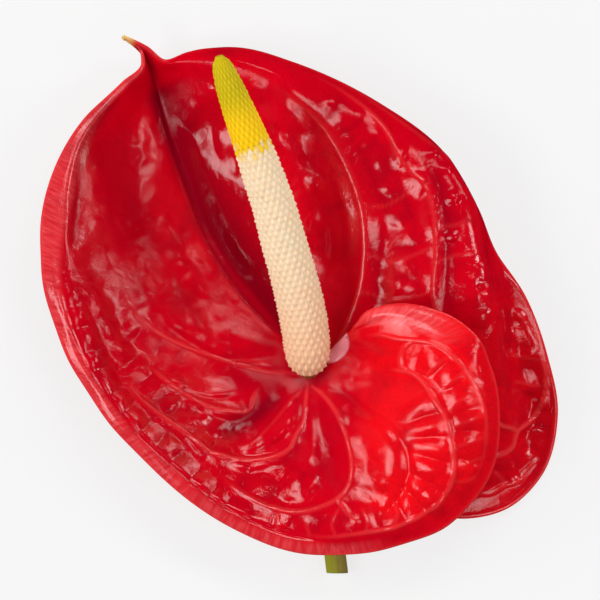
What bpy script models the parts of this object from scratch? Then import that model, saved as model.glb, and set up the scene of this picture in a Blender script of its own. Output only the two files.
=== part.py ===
"""Cut anthurium on its back: heart-shaped spathe, floret-covered spadix with a ripe tip, and a short stem."""

import math
import random

import bpy
import numpy as np

# Driving dimensions in millimetres: X runs right, Y from the stem to the tip, Z up from the surface.
MM = 0.001
FRAME_SHIFT = (-0.30, 0.11, 0.0)
BLADE_THICKNESS = 0.9
LEAST_THICKNESS = 0.7
COLLAR_CENTRE = (2.2, -16.2, 10.5)
COLLAR_RADIUS = 2.65
COLLAR_TILT = (-0.10, 0.50, 0.86)
MIDRIB_ANGLE = 112.0
MIDRIB_ROWS = 40
LEFT_LOBE_ROWS = 85
RIGHT_LOBE_ROWS = 55
STEM_RADIUS = 2.75
NUB_RADIUS = 1.85
STEM_SIDES = 18
FLORETS_ROUND = 16
FLORET_ROWS = 42
TIP_ROWS = 14
FLORET_HEIGHT = 0.62
RIPE_FLORET_HEIGHT = 0.45
PIECE_GAP = 0.3

# Midrib from the collar to the drip tip.
MIDRIB = (
    (-0.5, -11.3, 8.4),
    (-13.0, 0.5, 5.6),
    (-22.8, 15.5, 3.4),
    (-29.2, 31.5, 1.5),
    (-34.0, 44.5, 0.3),
    (-36.6, 53.5, 2.0),
    (-38.5, 60.3, 6.6),
    (-40.4, 63.6, 9.6),
    (-44.6, 67.0, 12.2),
)

# Shares of the way from the foot to the margin at which the heights below are given.
COLUMNS = (0.0, 0.28, 0.56, 0.80, 0.91, 1.0)

# Ribs of the left half, from the sinus edge of the front lobe round to the drip tip:
# where the rib starts (degrees on the collar, or share of the midrib), margin point, reaches and heights.
LEFT_RIBS = (
    ("collar", 24.0, (9.0, -15.1, 12.0), (0.30, 0.58, 0.82, 0.92), (11.8, 11.8, 11.9, 12.0)),
    ("collar", 18.0, (13.0, -10.6, 15.2), (0.30, 0.58, 0.82, 0.92), (12.4, 13.1, 14.3, 14.9)),
    ("collar", 13.0, (16.8, -2.8, 23.4), (0.28, 0.56, 0.80, 0.91), (13.8, 17.8, 21.6, 23.2)),
    ("collar", 5.0, (26.5, -0.6, 27.2), (0.28, 0.56, 0.80, 0.91), (15.4, 22.2, 26.8, 27.8)),
    ("collar", -4.0, (36.6, -3.8, 28.2), (0.28, 0.56, 0.80, 0.91), (16.8, 24.8, 29.2, 29.4)),
    ("collar", -15.0, (46.9, -15.6, 27.0), (0.28, 0.56, 0.80, 0.91), (18.2, 26.4, 30.4, 29.4)),
    ("collar", -30.0, (49.3, -32.0, 24.4), (0.28, 0.56, 0.81, 0.92), (18.4, 26.4, 29.2, 27.4)),
    ("collar", -44.0, (45.4, -45.6, 22.0), (0.28, 0.56, 0.82, 0.92), (17.8, 24.8, 26.2, 24.4)),
    ("collar", -58.0, (36.7, -54.9, 19.8), (0.28, 0.56, 0.83, 0.93), (16.6, 21.8, 22.6, 21.4)),
    ("collar", -74.0, (21.4, -60.9, 17.6), (0.28, 0.56, 0.84, 0.93), (14.8, 17.4, 19.2, 18.8)),
    ("collar", -92.0, (2.6, -62.3, 16.8), (0.28, 0.56, 0.84, 0.93), (12.4, 13.2, 17.2, 17.8)),
    ("collar", -112.0, (-16.5, -56.0, 17.4), (0.28, 0.56, 0.84, 0.93), (9.8, 10.6, 16.6, 18.4)),
    ("collar", -134.0, (-33.6, -43.6, 18.6), (0.28, 0.56, 0.84, 0.93), (8.2, 9.8, 16.8, 19.6)),
    ("collar", -158.0, (-47.9, -28.6, 19.8), (0.28, 0.56, 0.83, 0.93), (7.4, 9.8, 17.4, 20.9)),
    ("collar", -184.0, (-58.8, -10.6, 21.0), (0.28, 0.56, 0.82, 0.92), (7.0, 10.4, 18.2, 22.2)),
    ("collar", -248.0, (-64.0, 8.0, 22.0), (0.28, 0.56, 0.81, 0.92), (7.2, 11.0, 19.0, 23.4)),
    ("midrib", 0.16, (-64.2, 20.8, 21.8), (0.28, 0.56, 0.80, 0.91), (5.8, 10.2, 18.6, 23.0)),
    ("midrib", 0.32, (-61.1, 33.8, 20.0), (0.28, 0.56, 0.79, 0.91), (4.8, 9.0, 16.8, 20.8)),
    ("midrib", 0.47, (-53.6, 46.4, 16.6), (0.28, 0.56, 0.79, 0.91), (4.2, 7.8, 14.2, 17.0)),
    ("midrib", 0.60, (-44.6, 55.4, 12.4), (0.28, 0.56, 0.80, 0.91), (4.0, 6.8, 11.0, 12.6)),
    ("midrib", 0.72, (-39.6, 60.6, 9.4), (0.28, 0.56, 0.80, 0.91), (5.6, 7.6, 9.2, 9.6)),
    ("midrib", 0.84, (-40.1, 64.1, 10.8), (0.28, 0.56, 0.80, 0.91), (9.0, 9.8, 10.6, 10.8)),
    ("midrib", 1.0, (-44.8, 66.8, 12.6), (0.28, 0.56, 0.80, 0.91), (12.3, 12.4, 12.5, 12.6)),
)

# Ribs of the right half, from the sinus edge of the back lobe round to the drip tip.
RIGHT_RIBS = (
    ("collar", -40.0, (8.4, -28.0, 10.2), (0.28, 0.56, 0.80, 0.91), (9.4, 9.7, 10.0, 10.1)),
    ("collar", -32.0, (19.6, -44.4, 7.2), (0.28, 0.56, 0.80, 0.91), (10.0, 9.4, 8.4, 7.6)),
    ("collar", -22.0, (42.0, -54.0, 4.2), (0.28, 0.56, 0.80, 0.91), (10.8, 10.0, 6.8, 5.0)),
    ("collar", -14.0, (52.6, -51.4, 2.4), (0.28, 0.56, 0.80, 0.91), (11.2, 10.8, 6.0, 3.2)),
    ("collar", -5.0, (61.3, -43.0, 1.0), (0.28, 0.56, 0.80, 0.91), (11.4, 11.6, 5.6, 0.8)),
    ("collar", 5.0, (65.2, -28.0, 0.8), (0.28, 0.56, 0.77, 0.88), (11.6, 13.2, 8.4, 0.0)),
    ("collar", 16.0, (62.3, -12.8, 3.6), (0.28, 0.56, 0.79, 0.87), (12.0, 15.6, 13.8, 4.4)),
    ("collar", 28.0, (56.9, 1.4, 6.4), (0.28, 0.56, 0.85, 0.90), (12.2, 17.6, 17.4, 8.2)),
    ("collar", 46.0, (49.0, 13.0, 9.6), (0.28, 0.58, 0.92, 0.96), (12.0, 18.8, 18.8, 13.4)),
    ("collar", 112.0, (44.2, 23.6, 12.6), (0.28, 0.60, 0.93, 0.99), (10.6, 19.0, 20.4, 17.6)),
    ("midrib", 0.13, (35.5, 38.2, 13.6), (0.28, 0.60, 0.92, 0.985), (8.4, 17.0, 19.8, 17.0)),
    ("midrib", 0.26, (20.6, 49.4, 12.6), (0.28, 0.60, 0.90, 0.97), (6.6, 13.8, 17.8, 15.4)),
    ("midrib", 0.40, (-1.8, 60.4, 11.4), (0.28, 0.60, 0.89, 0.96), (5.2, 10.8, 15.6, 13.8)),
    ("midrib", 0.53, (-19.0, 64.2, 9.8), (0.28, 0.60, 0.88, 0.95), (4.2, 8.8, 13.0, 11.6)),
    ("midrib", 0.64, (-28.4, 62.9, 8.8), (0.28, 0.58, 0.84, 0.93), (3.8, 6.8, 9.6, 9.4)),
    ("midrib", 0.73, (-33.6, 61.2, 8.4), (0.28, 0.56, 0.80, 0.91), (5.4, 7.2, 8.6, 8.7)),
    ("midrib", 0.85, (-38.5, 64.6, 10.6), (0.28, 0.56, 0.80, 0.91), (9.4, 10.0, 10.6, 10.7)),
    ("midrib", 1.0, (-44.3, 67.35, 12.6), (0.28, 0.56, 0.80, 0.91), (12.3, 12.4, 12.5, 12.6)),
)

# Shares at which the inner and the outer collective vein cross each rib.
LEFT_VEINS = (
    (0.46, 0.82), (0.46, 0.82), (0.46, 0.83), (0.50, 0.84), (0.55, 0.85), (0.64, 0.86),
    (0.71, 0.88), (0.72, 0.89), (0.68, 0.89), (0.60, 0.88), (0.53, 0.88), (0.57, 0.88),
    (0.66, 0.88), (0.63, 0.87), (0.54, 0.86), (0.58, 0.86), (0.60, 0.86), (0.60, 0.86),
    (0.60, 0.86), (0.60, 0.85), (0.56, 0.84), (0.53, 0.83), (0.53, 0.83),
)
RIGHT_VEINS = (
    (0.50, 0.80), (0.50, 0.80), (0.50, 0.82), (0.50, 0.84), (0.48, 0.87), (0.42, 0.90),
    (0.36, 0.72), (0.34, 0.62), (0.38, 0.76), (0.45, 0.85), (0.54, 0.86), (0.64, 0.90),
    (0.76, 0.93), (0.76, 0.93), (0.66, 0.90), (0.58, 0.86), (0.53, 0.83), (0.53, 0.83),
)

# Lift of each half's collar edge, so that the front lobe passes over the back lobe.
LEFT_LIFTS = ((-248.0, 0.0), (-184.0, 0.1), (-112.0, 0.2), (-58.0, 0.6), (-15.0, 1.3), (24.0, 1.7))
RIGHT_LIFTS = ((-40.0, -1.2), (-5.0, -1.1), (28.0, -0.8), (70.0, -0.3), (112.0, 0.0))

# Shares across each half where the two veins stand at these shares: floor, quilted bands and marginal band.
CROSS_SHARES = (0.0, 0.05, 0.17, 0.34, 0.50, 0.53, 0.56, 0.68, 0.80, 0.83, 0.86, 0.93, 1.0)
INNER_VEIN = 0.53
OUTER_VEIN = 0.83
EDGE_WAVE = 0.35
EDGE_WAVE_ROWS = 8.5

# Spadix axis, with the radius under the florets.
SPADIX_AXIS = (
    (2.0, -14.6, 13.7, 2.3),
    (2.0, -14.4, 14.3, 3.9),
    (1.95, -13.6, 15.4, 4.8),
    (1.85, -11.4, 17.2, 5.3),
    (1.4, -7.5, 19.2, 5.45),
    (0.0, 0.5, 22.5, 5.5),
    (-2.0, 8.4, 25.7, 5.35),
    (-4.3, 16.3, 28.8, 5.2),
    (-6.5, 24.2, 31.8, 4.95),
    (-9.2, 32.0, 34.8, 4.65),
    (-12.0, 39.8, 37.4, 4.3),
    (-15.1, 47.6, 40.2, 3.7),
    (-18.0, 55.3, 42.8, 2.85),
    (-19.2, 58.7, 43.9, 2.1),
    (-19.8, 60.5, 44.5, 1.0),
)
RIPE_FROM = 0.725

# Stem axis from the cut end to the nub that carries the spadix, with the radius.
STEM_AXIS = (
    (9.4, -67.9, 2.55, STEM_RADIUS),
    (8.4, -60.0, 2.55, STEM_RADIUS),
    (5.9, -43.0, 3.3, STEM_RADIUS),
    (3.7, -29.5, 4.2, STEM_RADIUS),
    (2.8, -24.5, 5.1, 2.5),
    (2.3, -19.3, 7.2, 2.1),
    (2.2, -16.9, 9.5, NUB_RADIUS),
    (2.05, -15.5, 11.6, NUB_RADIUS),
    (2.0, -14.8, 12.95, NUB_RADIUS),
)

RED = (0.55, 0.004, 0.014, 1.0)
CREAM = (0.86, 0.68, 0.45, 1.0)
YELLOW_GREEN = (0.62, 0.50, 0.02, 1.0)
OLIVE = (0.19, 0.22, 0.045, 1.0)


# Curves
def hermite(keys, values, where):
    """Smooth curve through values at unevenly spaced keys, one row of values per key."""
    keys = np.asarray(keys, float)
    values = np.asarray(values, float).reshape(len(keys), -1)
    where = np.asarray(where, float)
    steps = np.diff(keys)[:, None]
    rises = np.diff(values, axis=0) / steps
    slopes = np.empty_like(values)
    slopes[0], slopes[-1] = rises[0], rises[-1]
    slopes[1:-1] = (rises[:-1] * steps[1:] + rises[1:] * steps[:-1]) / (steps[1:] + steps[:-1])
    cell = np.clip(np.searchsorted(keys, where, side="right") - 1, 0, len(keys) - 2)
    width = steps[cell, 0]
    share = ((where - keys[cell]) / width)[:, None]
    width = width[:, None]
    squared, cubed = share**2, share**3
    return (
        (2 * cubed - 3 * squared + 1) * values[cell]
        + (cubed - 2 * squared + share) * width * slopes[cell]
        + (3 * squared - 2 * cubed) * values[cell + 1]
        + (cubed - squared) * width * slopes[cell + 1]
    )


def collar_point(angle, lift):
    """Point on the tilted collar ring at an angle in degrees."""
    turn = math.radians(angle)
    across, along = COLLAR_RADIUS * math.cos(turn), COLLAR_RADIUS * math.sin(turn)
    rise = -(COLLAR_TILT[0] * across + COLLAR_TILT[1] * along) / COLLAR_TILT[2]
    centre = np.array(COLLAR_CENTRE)
    return centre + np.array([across, along, rise + lift])


def midrib_points(shares):
    start = tuple(collar_point(MIDRIB_ANGLE, 0.0))
    line = (start, *MIDRIB)
    return hermite(np.linspace(0.0, 1.0, len(line)), line, shares)


# Each half of the spathe
class Half:
    """One half of the spathe, as a surface over its margin's run and a share of the way out from the foot."""

    def __init__(self, ribs, veins, lifts):
        self.veins = veins
        self.lifts = sorted(lifts)
        self.first_angle = ribs[0][1]
        self.last_angle = [value for kind, value, *_ in ribs if kind == "collar"][-1]
        margins = np.array([margin for _, _, margin, _, _ in ribs])
        self.keys = np.concatenate(([0.0], np.cumsum(np.linalg.norm(np.diff(margins, axis=0), axis=1))))
        self.places = [self.place(kind, value) for kind, value, *_ in ribs]
        self.columns = [[] for _ in COLUMNS]
        for foot, (_, _, margin, reaches, heights) in zip(self.feet(self.places), ribs):
            margin = np.array(margin)
            for column, reach, height in zip(self.columns[1:], reaches, heights):
                at = foot + (margin - foot) * reach
                column.append((at[0], at[1], height))
            self.columns[-1].append(margin)

    def place(self, kind, value):
        """Foot position: 0 to 1 round the collar, 1 to 2 along the midrib."""
        if kind == "midrib":
            return 1.0 + value
        return (value - self.first_angle) / (self.last_angle - self.first_angle)

    def feet(self, places):
        feet = []
        for place in places:
            if place >= 1.0:
                feet.append(midrib_points([place - 1.0])[0])
                continue
            angle = self.first_angle + place * (self.last_angle - self.first_angle)
            feet.append(collar_point(angle, np.interp(angle, *zip(*self.lifts))))
        return np.array(feet)

    def runs(self, lobe_rows):
        """Margin runs of the rows: even steps round the lobe, then the shared rows of the midrib."""
        knee = self.keys[self.places.index(1.0)]
        lobe = np.linspace(0.0, knee, lobe_rows)[:-1]
        midrib = 1.0 + np.linspace(0.0, 1.0, MIDRIB_ROWS)
        return np.concatenate((lobe, np.interp(midrib, self.places, self.keys)))

    def surface(self, runs, shares):
        """Grid of points, one row per run and one column per share, with two columns on the veins."""
        rows = [self.feet(np.interp(runs, self.keys, self.places))]
        rows += [hermite(self.keys, column, runs) for column in self.columns[1:]]
        rows = np.array(rows)
        veins = hermite(self.keys, self.veins, runs)
        grid = []
        for index in range(len(runs)):
            moved = np.interp(shares, (0.0, INNER_VEIN, OUTER_VEIN, 1.0), (0.0, *veins[index], 1.0))
            grid.append(hermite(COLUMNS, rows[:, index], moved))
        return np.array(grid)


# Quilted bands: start and end shares, rows in one pillow, and height.
QUILTS = ((0.17, INNER_VEIN, 6, 0.9), (INNER_VEIN, OUTER_VEIN, 3, 1.5), (OUTER_VEIN, 1.0, 3, 0.7))
VEIN_FEET = (0.50, 0.56, 0.80, 0.86)


def bulge(along, across):
    """Rounded pillow between four veins."""
    return np.abs(np.sin(np.pi * along)) ** 0.75 * np.sin(np.pi * np.clip(across, 0.0, 1.0))


def relief(count, shares, beside_midrib, seed, calm):
    """Height of the raised net and of the quilting between it."""
    rng = random.Random(seed)
    height = np.zeros((count, len(shares)))
    across = np.asarray(shares)
    for start, end, period, amount in QUILTS:
        run = np.arange(count) / period
        strengths = np.array([rng.uniform(0.65, 1.15) for _ in range(count)])[np.floor(run).astype(int)]
        for column, share in enumerate(across):
            part = (share - start) / (end - start)
            if 0.0 < part < 1.0:
                height[:, column] += amount * strengths * bulge(run, part) * calm
    for vein, amount in ((INNER_VEIN, 0.9), (OUTER_VEIN, 0.8)):
        height += amount * np.exp(-(((across - vein) / 0.02) ** 2))[None, :] * calm[:, None] ** 0.5
    waves = np.sin(2 * np.pi * np.arange(count) / EDGE_WAVE_ROWS) * EDGE_WAVE * calm
    height += waves[:, None] * np.clip((across - 0.8) / 0.2, 0.0, 1.0)[None, :] ** 2
    height += 0.42 * np.exp(-(((across - 0.05) / 0.02) ** 2))[None, :] * beside_midrib[:, None]
    return height


def creases(index):
    """Edges that stay sharp: the foot of each collective vein, and the groove between two pillows."""
    sharp = []
    for column, share in enumerate(CROSS_SHARES):
        if share in VEIN_FEET:
            sharp += zip(index[:-1, column], index[1:, column])
    for start, end, period, _ in QUILTS:
        columns = [column for column, share in enumerate(CROSS_SHARES) if start <= share < end]
        for column in columns:
            sharp += zip(index[::period, column], index[::period, column + 1])
    return sharp


def vertex_normals(points, triangles):
    faces = np.cross(
        points[triangles[:, 1]] - points[triangles[:, 0]],
        points[triangles[:, 2]] - points[triangles[:, 0]],
    )
    normals = np.zeros_like(points)
    for corner in range(3):
        np.add.at(normals, triangles[:, corner], faces)
    return normals / np.linalg.norm(normals, axis=1)[:, None]


# Spathe
def build_spathe():
    grids = []
    for ribs, veins, lifts, lobe_rows, seed in (
        (LEFT_RIBS, LEFT_VEINS, LEFT_LIFTS, LEFT_LOBE_ROWS, 3),
        (RIGHT_RIBS, RIGHT_VEINS, RIGHT_LIFTS, RIGHT_LOBE_ROWS, 11),
    ):
        half = Half(ribs, veins, lifts)
        runs = half.runs(lobe_rows)
        grid = half.surface(runs, CROSS_SHARES)
        width = np.linalg.norm(grid[:, -1] - grid[:, 0], axis=1)
        spread = np.linalg.norm(np.gradient(grid[:, 7], axis=0), axis=1)
        calm = np.clip((width - 9.0) / 26.0, 0.0, 1.0) * np.clip(spread - 0.5, 0.0, 1.0)
        past_collar = np.arange(len(runs)) - lobe_rows + 1
        beside_midrib = np.clip(past_collar / 4.0, 0.0, 1.0) * np.clip(width / 20.0, 0.0, 1.0)
        grids.append((grid, relief(len(runs), CROSS_SHARES, beside_midrib, seed, calm)))
    columns = len(CROSS_SHARES)
    (left_grid, left_heights), (right_grid, right_heights) = grids
    left_count = left_grid.shape[0]
    right_count = right_grid.shape[0]
    points = list(left_grid.reshape(-1, 3))
    heights = list(left_heights.reshape(-1))
    left_index = np.arange(left_count * columns).reshape(left_count, columns)
    right_index = np.empty((right_count, columns), int)
    for row in range(right_count):
        for column in range(columns):
            shared = column == 0 and row >= RIGHT_LOBE_ROWS - 1
            if shared:
                right_index[row, column] = left_index[row - right_count + left_count, 0]
                continue
            right_index[row, column] = len(points)
            points.append(right_grid[row, column])
            heights.append(right_heights[row, column])
    points = np.array(points)
    heights = np.array(heights)
    triangles = []
    sharp = creases(left_index) + creases(right_index)
    for index, flip in ((left_index, False), (right_index, True)):
        for row in range(index.shape[0] - 1):
            for column in range(columns - 1):
                a, b = index[row, column], index[row + 1, column]
                c, d = index[row + 1, column + 1], index[row, column + 1]
                pair = ((a, b, c), (a, c, d)) if (row + column) % 2 else ((a, b, d), (b, c, d))
                triangles += [tri[::-1] for tri in pair] if flip else list(pair)
    triangles = np.array(triangles)
    if vertex_normals(points, triangles)[:, 2].mean() < 0:
        triangles = triangles[:, ::-1]
    points = points + vertex_normals(points, triangles) * heights[:, None]
    normals = vertex_normals(points, triangles)
    upper = points + normals * (BLADE_THICKNESS / 2)
    lower = points - normals * (BLADE_THICKNESS / 2)
    lower[:, 2] = np.maximum(lower[:, 2], 0.0)
    upper[:, 2] = np.maximum(upper[:, 2], lower[:, 2] + LEAST_THICKNESS * normals[:, 2])
    count = len(points)
    seen = {}
    for a, b, c in triangles:
        for edge in ((a, b), (b, c), (c, a)):
            seen[edge] = True
    rim = [(a, b) for a, b in seen if (b, a) not in seen]
    faces = [tuple(tri) for tri in triangles]
    faces += [(c + count, b + count, a + count) for a, b, c in triangles]
    for a, b in rim:
        faces += [(b, a, a + count), (b, a + count, b + count)]
    sharp += [(a + count, b + count) for a, b in sharp]
    return np.concatenate((upper, lower)), faces, sharp


# Round pieces along an axis
def frames_along(axis, shares):
    keys = np.linspace(0.0, 1.0, len(axis))
    lengths = np.linalg.norm(np.diff(np.array(axis)[:, :3], axis=0), axis=1)
    keys = np.concatenate(([0.0], np.cumsum(lengths)))
    keys /= keys[-1]
    centres = hermite(keys, [row[:3] for row in axis], shares)
    radii = hermite(keys, [row[3:] for row in axis], shares)[:, 0]
    ahead = hermite(keys, [row[:3] for row in axis], np.clip(np.array(shares) + 0.002, 0, 1))
    behind = hermite(keys, [row[:3] for row in axis], np.clip(np.array(shares) - 0.002, 0, 1))
    forward = ahead - behind
    forward /= np.linalg.norm(forward, axis=1)[:, None]
    side = np.cross(forward, (0.0, 0.0, 1.0))
    side /= np.linalg.norm(side, axis=1)[:, None]
    return centres, radii, side, np.cross(side, forward)


def ring_points(centre, side, up, radius, count, turn):
    angles = (np.arange(count) + turn) * 2 * np.pi / count
    return centre + radius * (np.cos(angles)[:, None] * side + np.sin(angles)[:, None] * up)


def build_florets(first, last, rows, height, seed):
    """Spindle covered in florets: a diamond net of grooves with a raised point in each diamond."""
    rng = random.Random(seed)
    florets = FLORETS_ROUND
    shares = np.linspace(first, last, rows + 1)
    centres, radii, side, up = frames_along(SPADIX_AXIS, shares)
    points, faces = [], []
    for row in range(rows + 1):
        ring = ring_points(centres[row], side[row], up[row], radii[row], florets, 0.5 * (row % 2))
        points += list(ring)
    for row in range(1, rows):
        turn = 0.5 * (row % 2) + 0.5
        peak_radius = radii[row] + height * min(1.0, radii[row] / 3.0)
        ring = ring_points(centres[row], side[row], up[row], peak_radius, florets, turn)
        for place in range(florets):
            nudge = rng.uniform(-0.04, 0.04)
            points.append(ring[place] + nudge * (ring[place] - centres[row]) / peak_radius)
    start = (rows + 1) * florets
    for row in range(1, rows):
        odd = row % 2
        for place in range(florets):
            peak = start + (row - 1) * florets + place
            left = row * florets + place
            right = row * florets + (place + 1) % florets
            beside = (place + 1) % florets if odd else place
            below = (row - 1) * florets + beside
            above = (row + 1) * florets + beside
            faces += [(left, below, peak), (below, right, peak), (right, above, peak), (above, left, peak)]
    for row, inner, last_ring in ((0, 1, False), (rows, rows - 1, True)):
        hub = len(points)
        points.append(centres[row])
        for place in range(florets):
            after = (place + 1) % florets
            a, b = row * florets + place, row * florets + after
            facing = inner * florets + (after if row % 2 else place)
            faces += [(b, a, facing), (a, b, hub)] if last_ring else [(a, b, facing), (b, a, hub)]
    return np.array(points), faces, []


def build_tube(axis, rows, sides):
    shares = np.linspace(0.0, 1.0, rows)
    centres, radii, side, up = frames_along(axis, shares)
    points, faces = [], []
    for row in range(rows):
        points += list(ring_points(centres[row], side[row], up[row], radii[row], sides, 0.5))
    for row in range(rows - 1):
        for place in range(sides):
            nxt = (place + 1) % sides
            a, b = row * sides + place, row * sides + nxt
            faces.append((a, b, b + sides, a + sides))
    faces.append(tuple(range(sides))[::-1])
    faces.append(tuple((rows - 1) * sides + place for place in range(sides)))
    points = np.array(points)
    points[:sides, 1] = axis[0][1]
    points[:, 2] = np.maximum(points[:, 2], 0.0)
    return points, faces, []


# Objects
def material(name, colour, roughness):
    made = bpy.data.materials.new(name)
    made.use_nodes = True
    shader = made.node_tree.nodes["Principled BSDF"]
    shader.inputs["Base Color"].default_value = colour
    shader.inputs["Roughness"].default_value = roughness
    made.diffuse_color = colour
    return made


def add_object(name, shape, finish, smooth):
    points, faces, sharp = shape
    mesh = bpy.data.meshes.new(name)
    shifted = (np.asarray(points) + np.array(FRAME_SHIFT)) * MM
    mesh.from_pydata([tuple(p) for p in shifted], [], [tuple(int(i) for i in f) for f in faces])
    mesh.update()
    if not faces_outward(points, faces):
        mesh.flip_normals()
    for polygon in mesh.polygons:
        polygon.use_smooth = smooth
    creased = {(min(a, b), max(a, b)) for a, b in sharp}
    for edge in mesh.edges:
        edge.use_edge_sharp = tuple(sorted(edge.vertices)) in creased
    mesh.materials.append(finish)
    made = bpy.data.objects.new(name, mesh)
    bpy.context.scene.collection.objects.link(made)
    return made


def faces_outward(points, faces):
    total = 0.0
    for face in faces:
        for second, third in zip(face[1:], face[2:]):
            total += np.dot(points[face[0]], np.cross(points[second], points[third]))
    return total > 0


def main():
    for old in list(bpy.data.objects):
        bpy.data.objects.remove(old)
    red = material("spathe_red", RED, 0.28)
    cream = material("spadix_cream", CREAM, 0.5)
    ripe = material("spadix_yellow_green", YELLOW_GREEN, 0.45)
    olive = material("stem_olive", OLIVE, 0.4)
    length = sum(math.dist(a[:3], b[:3]) for a, b in zip(SPADIX_AXIS, SPADIX_AXIS[1:]))
    gap = PIECE_GAP / length / 2
    spadix = build_florets(0.0, RIPE_FROM - gap, FLORET_ROWS, FLORET_HEIGHT, 5)
    tip = build_florets(RIPE_FROM + gap, 1.0, TIP_ROWS, RIPE_FLORET_HEIGHT, 7)
    add_object("spathe", build_spathe(), red, smooth=True)
    add_object("spadix", spadix, cream, smooth=False)
    add_object("spadix_tip", tip, ripe, smooth=False)
    add_object("stem", build_tube(STEM_AXIS, 22, STEM_SIDES), olive, smooth=True)


main()
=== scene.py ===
"""Cut anthurium laid on its back: the finished spathe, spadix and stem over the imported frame."""

import logging
import math
from dataclasses import dataclass, field
from enum import Enum
from typing import Any

import bmesh
import bpy
import numpy as np
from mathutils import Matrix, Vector


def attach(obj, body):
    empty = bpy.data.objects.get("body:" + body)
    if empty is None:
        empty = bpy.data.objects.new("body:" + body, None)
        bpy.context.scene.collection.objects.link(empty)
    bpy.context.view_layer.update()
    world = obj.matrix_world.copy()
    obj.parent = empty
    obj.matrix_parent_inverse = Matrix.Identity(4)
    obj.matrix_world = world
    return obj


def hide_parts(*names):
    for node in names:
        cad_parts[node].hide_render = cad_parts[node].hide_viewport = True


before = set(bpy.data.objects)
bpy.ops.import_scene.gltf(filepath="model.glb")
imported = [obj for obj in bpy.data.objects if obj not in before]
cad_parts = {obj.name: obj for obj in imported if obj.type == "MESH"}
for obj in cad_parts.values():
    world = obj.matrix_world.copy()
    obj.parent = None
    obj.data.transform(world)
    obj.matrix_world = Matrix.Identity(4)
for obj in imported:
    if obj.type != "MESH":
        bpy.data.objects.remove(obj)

LOG = logging.getLogger("anthurium")
MM = 0.001

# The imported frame's shift, and the camera over it, in millimetres.
FRAME_SHIFT = np.array((-0.30, 0.11, 0.0))
CAMERA = np.array((-0.30, 1.11, 1265.0))

# The plan is the flower as the camera sees it, at this height over the floor. It is measured to the right and
# down in quarter millimetres, and PLAN_MIDDLE is where the origin is seen.
PLAN_LEVEL = 15.0
PLAN_UNIT = 0.25
PLAN_MIDDLE = (300.0, 304.0)

# A line on the plan is followed in steps of about this length, and at this many points or more.
LINE_STEP = 5.0
LINE_POINTS = 6

# A pair of numbers for ease gives where a share starts and where it is full.
Bounds = tuple[float, float]

# The spathe's midrib, from the collar to the drip tip.
COLLAR_CENTRE = (2.2, -16.2, 10.5)
COLLAR_RADIUS = 2.65
COLLAR_TILT = (-0.10, 0.50, 0.86)
MIDRIB_ANGLE = 112.0
MIDRIB = (
    (-0.5, -11.3, 8.4),
    (-13.0, 0.5, 5.6),
    (-22.8, 15.5, 3.4),
    (-29.2, 31.5, 1.5),
    (-34.0, 44.5, 0.3),
    (-36.6, 53.5, 2.0),
    (-38.5, 60.3, 6.6),
    (-40.4, 63.6, 9.6),
    (-44.6, 67.0, 12.2),
)
COLUMNS = (0.0, 0.28, 0.56, 0.80, 0.91, 1.0)
USUAL_REACH = COLUMNS[1:-1]

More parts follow.
